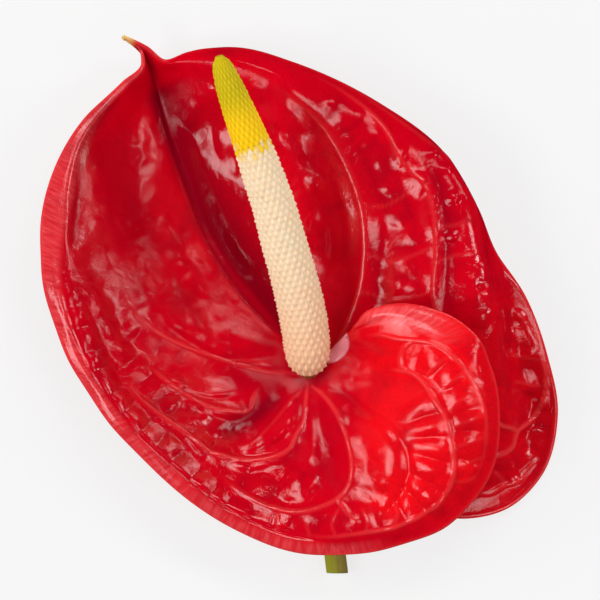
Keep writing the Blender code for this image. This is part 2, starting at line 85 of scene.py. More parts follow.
# Ribs of each half: where the rib starts, its margin point, and the reach and height of each column.
LEFT_RIBS = (
    ("collar", 24.0, (9.0, -15.1, 12.0), (0.30, 0.58, 0.82, 0.92), (11.8, 11.8, 11.9, 12.0)),
    ("collar", 18.0, (13.0, -10.6, 15.2), (0.30, 0.58, 0.82, 0.92), (12.4, 13.1, 14.3, 14.9)),
    ("collar", 13.0, (16.8, -2.8, 23.4), USUAL_REACH, (13.8, 17.8, 21.6, 23.2)),
    ("collar", 5.0, (26.5, -0.6, 27.2), USUAL_REACH, (15.4, 22.2, 26.8, 27.8)),
    ("collar", -4.0, (36.6, -3.8, 28.2), USUAL_REACH, (16.8, 24.8, 29.2, 29.4)),
    ("collar", -15.0, (46.9, -15.6, 27.0), USUAL_REACH, (18.2, 26.4, 30.4, 29.4)),
    ("collar", -30.0, (49.3, -32.0, 24.4), (0.28, 0.56, 0.81, 0.92), (18.4, 26.4, 29.2, 27.4)),
    ("collar", -44.0, (45.4, -45.6, 22.0), (0.28, 0.56, 0.82, 0.92), (17.8, 24.8, 26.2, 24.4)),
    ("collar", -58.0, (36.7, -54.9, 19.8), (0.28, 0.56, 0.83, 0.93), (16.6, 21.8, 22.6, 21.4)),
    ("collar", -74.0, (21.4, -60.9, 17.6), (0.28, 0.56, 0.84, 0.93), (14.8, 17.4, 19.2, 18.8)),
    ("collar", -92.0, (2.6, -62.3, 16.8), (0.28, 0.56, 0.84, 0.93), (12.4, 13.2, 17.2, 17.8)),
    ("collar", -112.0, (-16.5, -56.0, 17.4), (0.28, 0.56, 0.84, 0.93), (9.8, 10.6, 16.6, 18.4)),
    ("collar", -134.0, (-33.6, -43.6, 18.6), (0.28, 0.56, 0.84, 0.93), (8.2, 9.8, 16.8, 19.6)),
    ("collar", -158.0, (-47.9, -28.6, 19.8), (0.28, 0.56, 0.83, 0.93), (7.4, 9.8, 17.4, 20.9)),
    ("collar", -184.0, (-58.8, -10.6, 21.0), (0.28, 0.56, 0.82, 0.92), (7.0, 10.4, 18.2, 22.2)),
    ("collar", -248.0, (-64.0, 8.0, 22.0), (0.28, 0.56, 0.81, 0.92), (7.2, 11.0, 19.0, 23.4)),
    ("midrib", 0.16, (-64.2, 20.8, 21.8), USUAL_REACH, (5.8, 10.2, 18.6, 23.0)),
    ("midrib", 0.32, (-61.1, 33.8, 20.0), (0.28, 0.56, 0.79, 0.91), (4.8, 9.0, 16.8, 20.8)),
    ("midrib", 0.47, (-53.6, 46.4, 16.6), (0.28, 0.56, 0.79, 0.91), (4.2, 7.8, 14.2, 17.0)),
    ("midrib", 0.60, (-44.6, 55.4, 12.4), USUAL_REACH, (4.0, 6.8, 11.0, 12.6)),
    ("midrib", 0.72, (-39.6, 60.6, 9.4), USUAL_REACH, (5.6, 7.6, 9.2, 9.6)),
    ("midrib", 0.84, (-40.1, 64.1, 10.8), USUAL_REACH, (9.0, 9.8, 10.6, 10.8)),
    ("midrib", 1.0, (-44.8, 66.8, 12.6), USUAL_REACH, (12.3, 12.4, 12.5, 12.6)),
)
RIGHT_RIBS = (
    ("collar", -40.0, (8.4, -28.0, 10.2), USUAL_REACH, (9.4, 9.7, 10.0, 10.1)),
    ("collar", -32.0, (19.6, -44.4, 7.2), USUAL_REACH, (10.0, 9.4, 8.4, 7.6)),
    ("collar", -22.0, (42.0, -54.0, 4.2), USUAL_REACH, (10.8, 10.0, 6.8, 5.0)),
    ("collar", -14.0, (52.6, -51.4, 2.4), USUAL_REACH, (11.2, 10.8, 6.0, 3.2)),
    ("collar", -5.0, (61.3, -43.0, 1.0), USUAL_REACH, (11.4, 11.6, 5.6, 0.8)),
    ("collar", 5.0, (65.2, -28.0, 0.8), (0.28, 0.56, 0.77, 0.88), (11.6, 13.2, 8.4, 0.0)),
    ("collar", 16.0, (62.3, -12.8, 3.6), (0.28, 0.56, 0.79, 0.87), (12.0, 15.6, 13.8, 4.4)),
    ("collar", 28.0, (56.9, 1.4, 6.4), (0.28, 0.56, 0.85, 0.90), (12.2, 17.6, 17.4, 8.2)),
    ("collar", 46.0, (49.0, 13.0, 9.6), (0.28, 0.58, 0.92, 0.96), (12.0, 18.8, 18.8, 13.4)),
    ("collar", 112.0, (44.2, 23.6, 12.6), (0.28, 0.60, 0.93, 0.99), (10.6, 19.0, 20.4, 17.6)),
    ("midrib", 0.13, (35.5, 38.2, 13.6), (0.28, 0.60, 0.92, 0.985), (8.4, 17.0, 19.8, 17.0)),
    ("midrib", 0.26, (20.6, 49.4, 12.6), (0.28, 0.60, 0.90, 0.97), (6.6, 13.8, 17.8, 15.4)),
    ("midrib", 0.40, (-1.8, 60.4, 11.4), (0.28, 0.60, 0.89, 0.96), (5.2, 10.8, 15.6, 13.8)),
    ("midrib", 0.53, (-19.0, 64.2, 9.8), (0.28, 0.60, 0.88, 0.95), (4.2, 8.8, 13.0, 11.6)),
    ("midrib", 0.64, (-28.4, 62.9, 8.8), (0.28, 0.58, 0.84, 0.93), (3.8, 6.8, 9.6, 9.4)),
    ("midrib", 0.73, (-33.6, 61.2, 8.4), USUAL_REACH, (5.4, 7.2, 8.6, 8.7)),
    ("midrib", 0.85, (-38.5, 64.6, 10.6), USUAL_REACH, (9.4, 10.0, 10.6, 10.7)),
    ("midrib", 1.0, (-44.3, 67.35, 12.6), USUAL_REACH, (12.3, 12.4, 12.5, 12.6)),
)
LEFT_LIFTS = ((-248.0, 0.0), (-184.0, 0.1), (-112.0, 0.2), (-58.0, 0.6), (-15.0, 1.3), (24.0, 1.7))
RIGHT_LIFTS = ((-40.0, -1.2), (-5.0, -1.1), (28.0, -0.8), (70.0, -0.3), (112.0, 0.0))

# The spadix's axis with the radius under its florets, the share of it where the spadix is ripe, and half the
# seam there in millimetres.
SPADIX_AXIS = (
    (2.0, -14.6, 13.7, 2.3),
    (2.0, -14.4, 14.3, 3.9),
    (1.95, -13.6, 15.4, 4.8),
    (1.85, -11.4, 17.2, 5.3),
    (1.4, -7.5, 19.2, 5.45),
    (0.0, 0.5, 22.5, 5.5),
    (-2.0, 8.4, 25.7, 5.35),
    (-4.3, 16.3, 28.8, 5.2),
    (-6.5, 24.2, 31.8, 4.95),
    (-9.2, 32.0, 34.8, 4.65),
    (-12.0, 39.8, 37.4, 4.3),
    (-15.1, 47.6, 40.2, 3.7),
    (-18.0, 55.3, 42.8, 2.85),
    (-19.2, 58.7, 43.9, 2.1),
    (-19.8, 60.5, 44.5, 1.0),
)
RIPE_FROM = 0.725
SPADIX_SEAM = 0.01

# The stem's axis with its radius.
STEM_AXIS = (
    (9.4, -67.9, 2.55, 2.75),
    (8.4, -60.0, 2.55, 2.75),
    (5.9, -43.0, 3.3, 2.75),
    (3.7, -29.5, 4.2, 2.75),
    (2.8, -24.5, 5.1, 2.5),
    (2.3, -19.3, 7.2, 2.1),
    (2.2, -16.9, 9.5, 1.85),
    (2.05, -15.5, 11.6, 1.85),
    (2.0, -14.8, 12.95, 1.85),
)


class Side(Enum):
    """The spathe's two halves, either side of its midrib."""

    LEFT = "left"
    RIGHT = "right"


def smooth_curve(keys: Any, values: Any, where: Any) -> np.ndarray:
    """Read a smooth curve through values at unevenly spaced keys.

    Args:
        keys: rising positions of the values.
        values: one row of numbers per key.
        where: positions to read.

    Returns:
        One row of numbers per position.
    """
    keys = np.asarray(keys, float)
    values = np.asarray(values, float).reshape(len(keys), -1)
    where = np.asarray(where, float)
    steps = np.diff(keys)[:, None]
    rises = np.diff(values, axis=0) / steps
    slopes = np.empty_like(values)
    slopes[0], slopes[-1] = rises[0], rises[-1]
    slopes[1:-1] = (rises[:-1] * steps[1:] + rises[1:] * steps[:-1]) / (steps[1:] + steps[:-1])
    cell = np.clip(np.searchsorted(keys, where, side="right") - 1, 0, len(keys) - 2)
    width = steps[cell]
    share = ((where - keys[cell]) / width[:, 0])[:, None]
    squared, cubed = share**2, share**3
    return (
        (2 * cubed - 3 * squared + 1) * values[cell]
        + (cubed - 2 * squared + share) * width * slopes[cell]
        + (3 * squared - 2 * cubed) * values[cell + 1]
        + (cubed - squared) * width * slopes[cell + 1]
    )


def ease(start: float, full: float, value: np.ndarray) -> np.ndarray:
    """Rise smoothly from 0 to 1 as value goes from start to full."""
    share = np.clip((value - start) / (full - start), 0.0, 1.0)
    return share * share * (3.0 - 2.0 * share)


def bell(value: np.ndarray, middle: float, spread: Any) -> np.ndarray:
    """Rise smoothly to 1 at the middle and fall again."""
    return np.exp(-(((value - middle) / spread) ** 2))


def lengths_along(points: np.ndarray) -> np.ndarray:
    """Length travelled at each point of a line, from 0 at its first."""
    return np.concatenate(([0.0], np.cumsum(np.linalg.norm(np.diff(points, axis=0), axis=1))))


def plan_of(points: np.ndarray) -> np.ndarray:
    """Find where the camera sees each point.

    Args:
        points: places in millimetres.

    Returns:
        Their places on the plan, to the right and down.
    """
    towards = (CAMERA[2] - PLAN_LEVEL) / (CAMERA[2] - points[..., 2])
    seen = CAMERA[:2] + (points[..., :2] - CAMERA[:2]) * towards[..., None]
    right = PLAN_MIDDLE[0] + (seen[..., 0] - FRAME_SHIFT[0]) / PLAN_UNIT
    down = PLAN_MIDDLE[1] - (seen[..., 1] - FRAME_SHIFT[1]) / PLAN_UNIT
    return np.stack((right, down), axis=-1)


@dataclass(frozen=True)
class Zone:
    """An area of the plan with soft bounds, each given as the places where it starts and where it is full."""

    right: tuple[Bounds, ...] = ()
    down: tuple[Bounds, ...] = ()

    def share(self, plan: np.ndarray) -> np.ndarray:
        """Find how far inside each point lies.

        Args:
            plan: points on the plan.

        Returns:
            A share from 0 outside to 1 inside.
        """
        share = np.ones(len(plan))
        for axis, bounds in enumerate((self.right, self.down)):
            for start, full in bounds:
                share = share * ease(start, full, plan[:, axis])
        return share


# Areas of the front lobe: all of it, which gets painted light, the brow that stands up along its top, the
# pale band on the brow, partly a painted highlight, and the side where the painted light fades towards its
# margin.
FRONT_LOBE = Zone(right=((345.0, 385.0),), down=((548.0, 500.0),))
BROW = Zone(right=((330.0, 375.0), (490.0, 470.0)), down=((400.0, 350.0),))
BROW_PALE_AND_HIGHLIGHT = Zone(right=((362.0, 380.0), (472.0, 412.0)), down=((352.0, 336.0),))
DARK_SIDE = Zone(down=((330.0, 350.0),))
# How far the brow stands up, in millimetres, at places to the right.
BROW_LIFTS = ((370, 1.2), (385, 0.7), (400, 0.8), (412, 1.0), (425, 1.5), (440, 2.2), (455, 2.8), (470, 2.8))
# The pale lining, partly a painted highlight, shows on a round patch where the lobe's edge rolls over beside
# the spadix.
LINING_MIDDLE = (328.5, 341.5)
LINING_RIM = (21.6, 20.4)
LINING_SIDE = Zone(right=((322.0, 328.0),))

# Other areas: the rolled rim low on the left, the width in millimetres of the pale rim's painted sheen at
# places down it, the dish between rim and midrib, whose edge runs aslant past the bend, and the throat left
# of the collar, which gets painted shade.
ROLLED_RIM = Zone(right=((345.0, 300.0),), down=((250.0, 300.0),))
PALE_RIM = Zone(right=((400.0, 340.0),))
PALE_WIDTHS = ((60, 0.3), (100, 1.6), (140, 4.4), (195, 7.2), (290, 4.6), (400, 3.4), (520, 2.8))
DISH_EDGE = (262.0, 185.0)
DISH_BEND = (330.0, 530.0)
THROAT_MIDDLE = (270.0, 386.0)
THROAT_SIZE = (24.0, 20.0)
# The back lobe, which gets painted light, and the upper rim.
BACK_LOBE = Zone(right=((455.0, 490.0),), down=((270.0, 330.0),))
UPPER_RIM = Zone(down=((240.0, 190.0),))


@dataclass(frozen=True)
class Nearness:
    """How points lie beside a line: which points, and their measures in millimetres."""

    index: np.ndarray
    away: np.ndarray
    side: np.ndarray
    travel: np.ndarray
    share: np.ndarray

    def middle(self, ends: float) -> np.ndarray:
        """Share that fades out over both ends of the line."""
        return ease(0.0, ends, self.share) * ease(0.0, ends, 1.0 - self.share)


@dataclass(frozen=True)
class PlanLine:
    """A smooth line drawn on the plan."""

    points: tuple[tuple[float, float], ...]

    def line(self) -> np.ndarray:
        """Follow the line in fine steps.

        Returns:
            Points on the plan.
        """
        points = np.array(self.points, float)
        keys = lengths_along(points)
        count = max(LINE_POINTS, int(keys[-1] / LINE_STEP))
        return smooth_curve(keys, points, np.linspace(0.0, keys[-1], count))

    def beside(self, plan: np.ndarray, reach: float) -> Nearness:
        """Measure the points near the line.

        Args:
            plan: points on the plan.
            reach: distance in millimetres past which points are left out.

        Returns:
            The measures of the near points, where side is positive to the right of the line's run.
        """
        line = self.line()
        reach = reach / PLAN_UNIT
        near = ((plan >= line.min(axis=0) - reach) & (plan <= line.max(axis=0) + reach)).all(axis=1)
        index = np.nonzero(near)[0]
        best = np.full(len(index), np.inf)
        side, travel = np.zeros(len(index)), np.zeros(len(index))
        done = 0.0
        for start, end in zip(line[:-1], line[1:]):
            step = end - start
            length = float(np.linalg.norm(step))
            towards = plan[index] - start
            share = np.clip(towards @ step / length**2, 0.0, 1.0)
            away = np.linalg.norm(towards - share[:, None] * step, axis=1)
            closer = away < best
            turn = np.sign(step[0] * towards[:, 1] - step[1] * towards[:, 0])
            side = np.where(closer, turn * away, side)
            travel = np.where(closer, done + share * length, travel)
            best = np.where(closer, away, best)
            done += length
        kept = best < reach
        measures = (measure[kept] * PLAN_UNIT for measure in (best, side, travel))
        return Nearness(index[kept], *measures, travel[kept] / done)


def mark_near(numbers: dict[str, np.ndarray], name: str, near: Nearness, values: np.ndarray) -> None:
    """Raise one of the finish's numbers to the given values at the near points."""
    numbers[name][near.index] = np.maximum(numbers[name][near.index], values)


@dataclass(frozen=True)
class Vein(PlanLine):
    """A raised vein: a thin ridge on a broader swelling, which fades at its ends, with a paler tint that is
    partly a painted highlight.
    """

    height: float = 0.30
    width: float = 0.34
    swell: float = 0.20
    swell_width: float = 1.6
    tint: float = 0.8
    fade: float = 0.12
    fade_start: float = 0.0
    reach: float = 4.0

    def raise_on(self, plan: np.ndarray, numbers: dict[str, np.ndarray]) -> np.ndarray:
        """Raise the vein and mark its tint, partly a painted highlight.

        Args:
            plan: points on the plan.
            numbers: the finish's numbers at the points, in which vein is marked.

        Returns:
            The vein's height at every point.
        """
        near = self.beside(plan, self.reach)
        strength = ease(0.0, self.fade, 1.0 - near.share)
        if self.fade_start:
            strength = strength * ease(0.0, self.fade_start, near.share)
        ridge = bell(near.away, 0.0, self.width) * strength
        height = np.zeros(len(plan))
        height[near.index] = self.height * ridge
        height[near.index] += self.swell * bell(near.away, 0.0, self.swell_width) * strength
        mark_near(numbers, "vein", near, self.tint * ridge)
        return height


@dataclass(frozen=True)
class Fold(PlanLine):
    """A broad rounded ridge, or a valley where its height is below zero, that may darken the skin with
    painted shade.
    """

    height: float = 0.6
    left: float = 3.0
    right: float = 3.0
    shade: float = 0.0
    ends: float = 0.3
    widths_kept: float = 2.6

    def raise_on(self, plan: np.ndarray, numbers: dict[str, np.ndarray]) -> np.ndarray:
        """Raise the fold and mark its painted shade.

        Args:
            plan: points on the plan.
            numbers: the finish's numbers at the points, in which the painted shade is marked.

        Returns:
            The fold's height at every point.
        """
        near = self.beside(plan, self.widths_kept * max(self.left, self.right))
        width = np.where(near.side > 0, self.right, self.left)
        form = bell(near.away, 0.0, width) * near.middle(self.ends)
        height = np.zeros(len(plan))
        height[near.index] = self.height * form
        mark_near(numbers, "deep_and_shade", near, self.shade * form)
        return height


@dataclass(frozen=True)
class PillowBand(PlanLine):
    """A row of rounded pillows along a line, with a groove between each pair that holds painted shade."""

    pitch: float = 5.5
    left: float = 3.0
    right: float = 3.0
    height: float = 0.6
    slant: float = 0.0
    seed: int = 1
    ends: float = 0.08
    roundness: float = 0.7
    # how much painted shade darkens the grooves
    shade: float = 0.35
    most: int = 200
    spare: float = 2.0
    edge_scatter: float = 0.16
    height_range: tuple[float, float] = (0.65, 1.2)
    offset_scatter: float = 0.12
    # where across a pillow the painted shade comes in
    shade_reach: Bounds = (1.0, 0.6)

    def raise_on(self, plan: np.ndarray, numbers: dict[str, np.ndarray]) -> np.ndarray:
        """Raise the pillows and mark the painted shade in their grooves.

        Args:
            plan: points on the plan.
            numbers: the finish's numbers at the points, in which the painted shade is marked.

        Returns:
            The pillows' height at every point.
        """
        near = self.beside(plan, max(self.left, self.right))
        rng = np.random.default_rng(self.seed)
        places = (near.travel + self.slant * near.side) / self.pitch + self.spare
        edges = np.arange(self.most) + rng.uniform(-self.edge_scatter, self.edge_scatter, self.most)
        cell = np.clip(np.searchsorted(edges, places, side="right") - 1, 0, self.most - 2)
        along = (places - edges[cell]) / (edges[cell + 1] - edges[cell])
        amount = rng.uniform(*self.height_range, self.most)[cell]
        reach = np.where(near.side > 0, self.right, self.left)
        offset = rng.uniform(-self.offset_scatter, self.offset_scatter, self.most)[cell] * reach
        across = np.clip(np.abs(near.side - offset) / reach, 0.0, 1.0)
        strength = near.middle(self.ends)
        form = np.abs(np.sin(np.pi * along)) ** self.roundness
        form = form * np.cos(0.5 * np.pi * across) ** self.roundness
        height = np.zeros(len(plan))
        height[near.index] = self.height * amount * form * strength
        strength = strength * ease(*self.shade_reach, across)
        mark_near(numbers, "deep_and_shade", near, self.shade * (1.0 - form) * strength)
        return height


def cross_vein(*points: tuple[float, float]) -> Vein:
    """A low vein between two long ones."""
    return Vein(points, height=0.18, width=0.30, swell=0.0, tint=0.5, fade=0.1)


def stroke(height: float, left: float, right: float, *points: tuple[float, float]) -> Fold:
    """A short ridge with its height and its width to the left and right of its run."""
    return Fold(points, height, left, right, ends=0.4)


# Veins of the left half, which ends in the front lobe.
LEFT_VEINS = (
    # main veins from the collar
    Vein(
        ((306, 378), (295, 374), (270, 372), (240, 365), (200, 352), (165, 337), (140, 318), (112, 270)),
        height=0.34, swell=0.25, tint=0.55, fade=0.45,
    ),
    Vein(
        ((306, 382), (290, 403), (272, 425), (252, 443), (232, 452)),
        height=0.2, swell=0.1, tint=0.3, fade=0.4,
    ),
    Vein(
        (
            (308, 384), (303, 425), (297, 435), (290, 449), (275, 457), (245, 461), (225, 458), (207, 452),
            (190, 438), (165, 420), (140, 400), (118, 374),
        ),
        height=0.42, swell=0.35, tint=0.9, fade=0.25,
    ),
    Vein(
        (
            (312, 386), (325, 396), (340, 413), (349, 432), (353, 449), (355, 466), (351, 484), (338, 499),
            (320, 508), (300, 513), (270, 508), (240, 492), (205, 462),
        ),
        height=0.42, swell=0.35, tint=0.9, fade=0.4,
    ),
    Vein(((338, 499), (345, 508), (350, 515), (360, 523)), height=0.36, tint=0.9),
    # inner loops left of the collar
    Vein(
        ((262, 384), (255, 393), (249, 410), (230, 411), (210, 408), (190, 398), (160, 377), (147, 365)),
        height=0.34, swell=0.2, tint=0.7, fade_start=0.12,
    ),
    Vein(((285, 368), (262, 362), (230, 360), (205, 353)), height=0.2, tint=0.3, fade_start=0.3, fade=0.4),
    # front lobe: collective vein and outer vein, with the short vein that closes the first cell
    Vein(
        (
            (388, 369), (400, 370), (412, 372), (419, 377), (429, 389), (437, 402), (446, 417), (450, 430),
            (453, 447), (454, 465), (451, 481), (440, 499), (419, 515), (395, 526), (360, 533), (325, 537),
            (290, 533),
        ),
        height=0.40, swell=0.25, tint=1.0, fade_start=0.06, fade=0.3,
    ),
    Vein(
        (
            (366, 334), (384, 333), (402, 338), (416, 340), (430, 342), (443, 349), (457, 361), (470, 380),
            (478, 394), (483, 410), (485, 432), (480, 462), (468, 490),
        ),
        height=0.36, swell=0.3, tint=0.8, fade_start=0.1, fade=0.4,
    ),
    Vein(((412, 372), (402, 366), (402, 354), (410, 342), (420, 340)), height=0.3, tint=0.8, fade_start=0.1),
)

# Cross veins of the front lobe and of its lower edge.
LEFT_CROSS_VEINS = (
    cross_vein((450, 355), (436, 366), (423, 380)),
    cross_vein((465, 372), (450, 382), (434, 396)),
    cross_vein((478, 392), (460, 400), (444, 413)),
    cross_vein((484, 414), (468, 420), (450, 428)),
    cross_vein((485, 436), (470, 441), (453, 447)),
    cross_vein((482, 456), (468, 462), (455, 464)),
    cross_vein((474, 476), (462, 480), (452, 480)),
    cross_vein((336, 537), (332, 524), (340, 508)),
    cross_vein((366, 531), (368, 518), (362, 508)),
    cross_vein((395, 526), (398, 512), (392, 500)),
    cross_vein((310, 536), (306, 522), (310, 512)),
    cross_vein((278, 530), (276, 520), (280, 511)),
)

# Broad ridges and valleys of the left half.
LEFT_FOLDS = (
    # ridge beside the midrib's lower end, and the valley left of it
    Fold(
        ((180, 246), (196, 278), (218, 312), (243, 342), (268, 364)),
        height=0.6, left=5.0, right=2.6, ends=0.2,
    ),
    Fold(((186, 272), (206, 306), (232, 338), (262, 358)), height=-0.3, left=3.0, right=2.0),
    Fold(((150, 300), (172, 322), (200, 340), (232, 354), (262, 363)), height=0.6, left=3.4, right=1.2),
    # crescents under the main vein
    Fold(((162, 372), (185, 387), (205, 393), (225, 393), (244, 387)), height=0.8, left=2.6, right=1.1),
    Fold(((186, 398), (208, 410), (230, 414), (248, 410)), height=0.6, left=2.2, right=0.9),
    # valleys with painted shade, and the ridges beside them
    Fold(
        ((205, 436), (232, 428), (256, 414), (276, 397), (294, 385)),
        height=-1.2, left=3.2, right=3.0, shade=0.9,
    ),
    Fold(((230, 455), (262, 446), (284, 430), (296, 408), (303, 392)), height=0.85, left=2.4, right=1.1),
    Fold(
        ((262, 470), (284, 462), (297, 446), (304, 420), (308, 398)),
        height=-0.4, left=1.4, right=1.8, shade=0.3,
    ),
    Fold(((309, 390), (313, 412), (315, 436), (312, 470)), height=0.5, left=1.2, right=1.2),
    Fold(((334, 498), (330, 470), (328, 440), (322, 410)), height=-0.4, left=3.0, right=2.6, shade=0.2),
    # front lobe: the two swellings beside the second vein, the smooth bulge and the crease round it, which
    # holds painted shade
    Fold(((318, 390), (330, 404), (341, 420), (352, 438)), height=1.3, left=2.6, right=5.0, ends=0.45),
    Fold(((326, 398), (350, 434), (374, 470)), height=1.7, left=5.0, right=5.0, ends=0.5),
    Fold(((344, 448), (357, 472), (368, 500)), height=1.0, left=3.8, right=4.2, ends=0.5),
    Fold(
        ((350, 404), (376, 424), (388, 448), (389, 474), (376, 500)),
        height=1.5, left=4.6, right=4.2, ends=0.3,
    ),
    Fold(
        (
            (322, 384), (345, 395), (366, 411), (386, 424), (401, 440), (408, 460), (407, 480),
            (396, 502), (374, 522),
        ),
        height=-0.75, left=1.3, right=1.3, shade=0.35, ends=0.12,
    ),
    Fold(
        ((398, 358), (424, 366), (442, 384), (457, 408), (464, 436), (465, 462), (456, 488)),
        height=-0.2, left=2.4, right=2.4,
    ),
    Fold(((346, 326), (368, 336), (392, 341), (414, 348)), height=0.7, left=4.2, right=3.0, ends=0.3),
    Fold(((78, 262), (90, 300), (108, 338), (130, 368)), height=0.8, left=2.6, right=7.0, ends=0.3),
    # inner line of the rim with painted shade, the ridge and the painted shade over the dish, and the painted
    # shade along the midrib
    Fold(
        ((124, 88), (96, 120), (80, 156), (76, 196), (74, 232), (72, 262)),
        height=-0.6, left=2.0, right=1.6, shade=0.55, ends=0.15,
    ),
    Fold(
        ((126, 140), (118, 175), (118, 210), (130, 245)),
        height=1.3, left=5.0, right=8.5, shade=0.2, ends=0.35,
    ),
    Fold(((140, 110), (120, 200), (130, 290), (190, 360)), height=0.0, left=10.0, right=14.0, shade=0.3),
    Fold(
        ((150, 78), (160, 118), (177, 162), (199, 212), (231, 260), (270, 309), (300, 350)),
        height=0.0, left=1.6, right=1.6, shade=0.9, ends=0.06,
    ),
)
# Short ridges of the left half: height, width to the left and right of the run, and the run.
LEFT_STROKES = (
    stroke(0.40, 3.0, 1.4, (182, 260), (172, 240), (158, 216)),
    stroke(0.35, 2.4, 1.2, (186, 276), (178, 262), (166, 250)),
    stroke(0.35, 2.2, 1.2, (176, 304), (172, 291), (166, 279)),
    stroke(0.35, 2.0, 1.2, (206, 340), (196, 326), (186, 312)),
    stroke(0.30, 1.4, 1.0, (160, 152), (152, 134), (142, 116)),
    stroke(0.45, 1.6, 1.0, (222, 462), (248, 468), (276, 462)),
    stroke(0.50, 2.0, 1.0, (304, 500), (312, 488), (318, 474)),
    stroke(0.45, 1.6, 1.0, (296, 482), (304, 470), (310, 458)),
)
LEFT_PILLOWS = (
    PillowBand(
        (
            (60, 262), (68, 296), (80, 328), (95, 360), (112, 388), (137, 418), (168, 447), (196, 478),
            (226, 502), (260, 517), (300, 525), (340, 524), (372, 517), (398, 504),
        ),
        pitch=5.8, left=2.8, right=2.8, height=0.42, seed=4, roundness=1.0, shade=0.2,
    ),
    PillowBand(
        (
            (96, 292), (110, 332), (131, 362), (152, 388), (175, 410), (198, 438), (226, 462), (250, 480),
            (280, 490), (316, 488),
        ),
        pitch=6.2, left=3.0, right=3.0, height=0.42, seed=9, roundness=1.0, shade=0.2,
    ),
    PillowBand(
        ((122, 322), (142, 340), (166, 350), (188, 358)),
        pitch=5.6, left=2.6, right=2.6, height=0.4, seed=2,
    ),
    PillowBand(
        ((168, 376), (188, 402), (208, 424), (236, 432)),
        pitch=5.2, left=2.4, right=2.4, height=0.42, seed=6,
    ),
    PillowBand(((288, 470), (306, 482), (322, 480)), pitch=4.2, left=2.6, right=2.6, height=0.35, seed=8),
    PillowBand(
        ((50, 292), (46, 250), (51, 205), (64, 160), (84, 126)),
        pitch=1.1, left=2.0, right=2.2, height=0.07, seed=5,
    ),
    # front lobe: the cells outside and inside its collective vein, and its margin
    PillowBand(
        (
            (398, 352), (416, 355), (434, 362), (449, 376), (460, 394), (467, 414), (469, 436), (466, 458),
            (458, 478), (444, 497), (424, 512),
        ),
        pitch=6.0, left=3.8, right=3.8, height=0.6, seed=12, shade=0.2,
    ),
    PillowBand(
        (
            (408, 398), (424, 420), (431, 440), (431, 462), (427, 482), (416, 502), (398, 518), (374, 528),
        ),
        pitch=5.5, left=6.4, right=6.0, height=0.75, slant=0.18, seed=14, roundness=1.0, shade=0.1,
    ),
    PillowBand(
        ((472, 352), (484, 378), (491, 405), (490, 430), (484, 455), (474, 480)),
        pitch=3.6, left=1.6, right=1.6, height=0.18, seed=16,
    ),
)

# Veins of the right half, which ends in the back lobe.
RIGHT_VEINS = (
    Vein(
        (
            (318, 366), (335, 348), (350, 325), (362, 300), (367, 280), (369, 240), (363, 200), (345, 155),
            (322, 120), (300, 100), (262, 80),
        ),
        height=0.34, swell=0.3, tint=0.6, fade=0.3,
    ),
    Vein(
        (
            (470, 372), (448, 342), (434, 300), (435, 250), (433, 210), (425, 185), (405, 165),
            (385, 130), (345, 95), (300, 70),
        ),
        height=0.38, swell=0.35, tint=0.75, fade_start=0.15, fade=0.3,
    ),
    Vein(
        ((476, 236), (474, 205), (466, 180), (450, 162), (420, 138), (385, 113), (355, 93), (325, 76)),
        height=0.2, swell=0.2, tint=0.3, fade_start=0.3, fade=0.3,
    ),
    # back lobe, whose veins have the strongest pale tint, partly a painted highlight
    Vein(
        (
            (500, 300), (522, 318), (535, 342), (543, 360), (546, 375), (545, 395), (530, 420), (515, 431),
            (510, 447), (492, 457), (470, 464),
        ),
        height=0.45, swell=0.4, tint=1.5, fade_start=0.3, fade=0.2,
    ),
    Vein(((515, 431), (508, 427), (500, 425), (484, 420)), height=0.42, tint=1.4),
    Vein(
        ((540, 456), (528, 470), (515, 483), (503, 485), (490, 493), (476, 495)),
        height=0.4, tint=0.8, fade_start=0.15, fade=0.3,
    ),
    Vein(((505, 485), (500, 478), (492, 470)), height=0.25, tint=0.6),
)
RIGHT_CROSS_VEINS = (
    cross_vein((546, 386), (532, 384), (512, 382)),
    cross_vein((545, 360), (530, 357), (508, 356)),
    cross_vein((369, 250), (390, 262), (412, 256), (434, 246)),
    cross_vein((366, 290), (392, 300), (418, 296), (434, 290)),
    cross_vein((362, 205), (384, 206), (410, 192), (424, 184)),
    cross_vein((434, 228), (450, 226), (472, 222)),
    cross_vein((436, 262), (454, 256), (480, 252)),
)
# Broad ridges and valleys of the right half, with painted shade beside the long veins, along the midrib and
# in the back lobe's groove.
RIGHT_FOLDS = (
    Fold(((206, 84), (232, 140), (256, 205), (290, 285)), height=-3.0, left=8.0, right=15.0, ends=0.25),
    Fold(
        ((335, 348), (362, 300), (369, 240), (363, 200), (345, 155), (322, 120), (292, 96), (262, 84)),
        height=2.2, left=9.5, right=3.0, ends=0.12,
    ),
    Fold(
        ((444, 330), (446, 292), (447, 250), (444, 205), (432, 170), (408, 140)),
        height=-0.7, left=1.4, right=2.0, shade=0.6,
    ),
    Fold(((374, 330), (380, 290), (379, 250), (374, 215)), height=-0.4, left=1.8, right=2.4, shade=0.45),
    Fold(
        ((150, 78), (160, 118), (177, 162), (199, 212), (231, 260), (270, 309), (300, 350)),
        height=-0.2, left=9.0, right=2.0, shade=0.9, ends=0.06,
    ),
    Fold(((505, 300), (508, 330), (506, 360)), height=-0.5, left=1.2, right=2.0, shade=0.7),
)
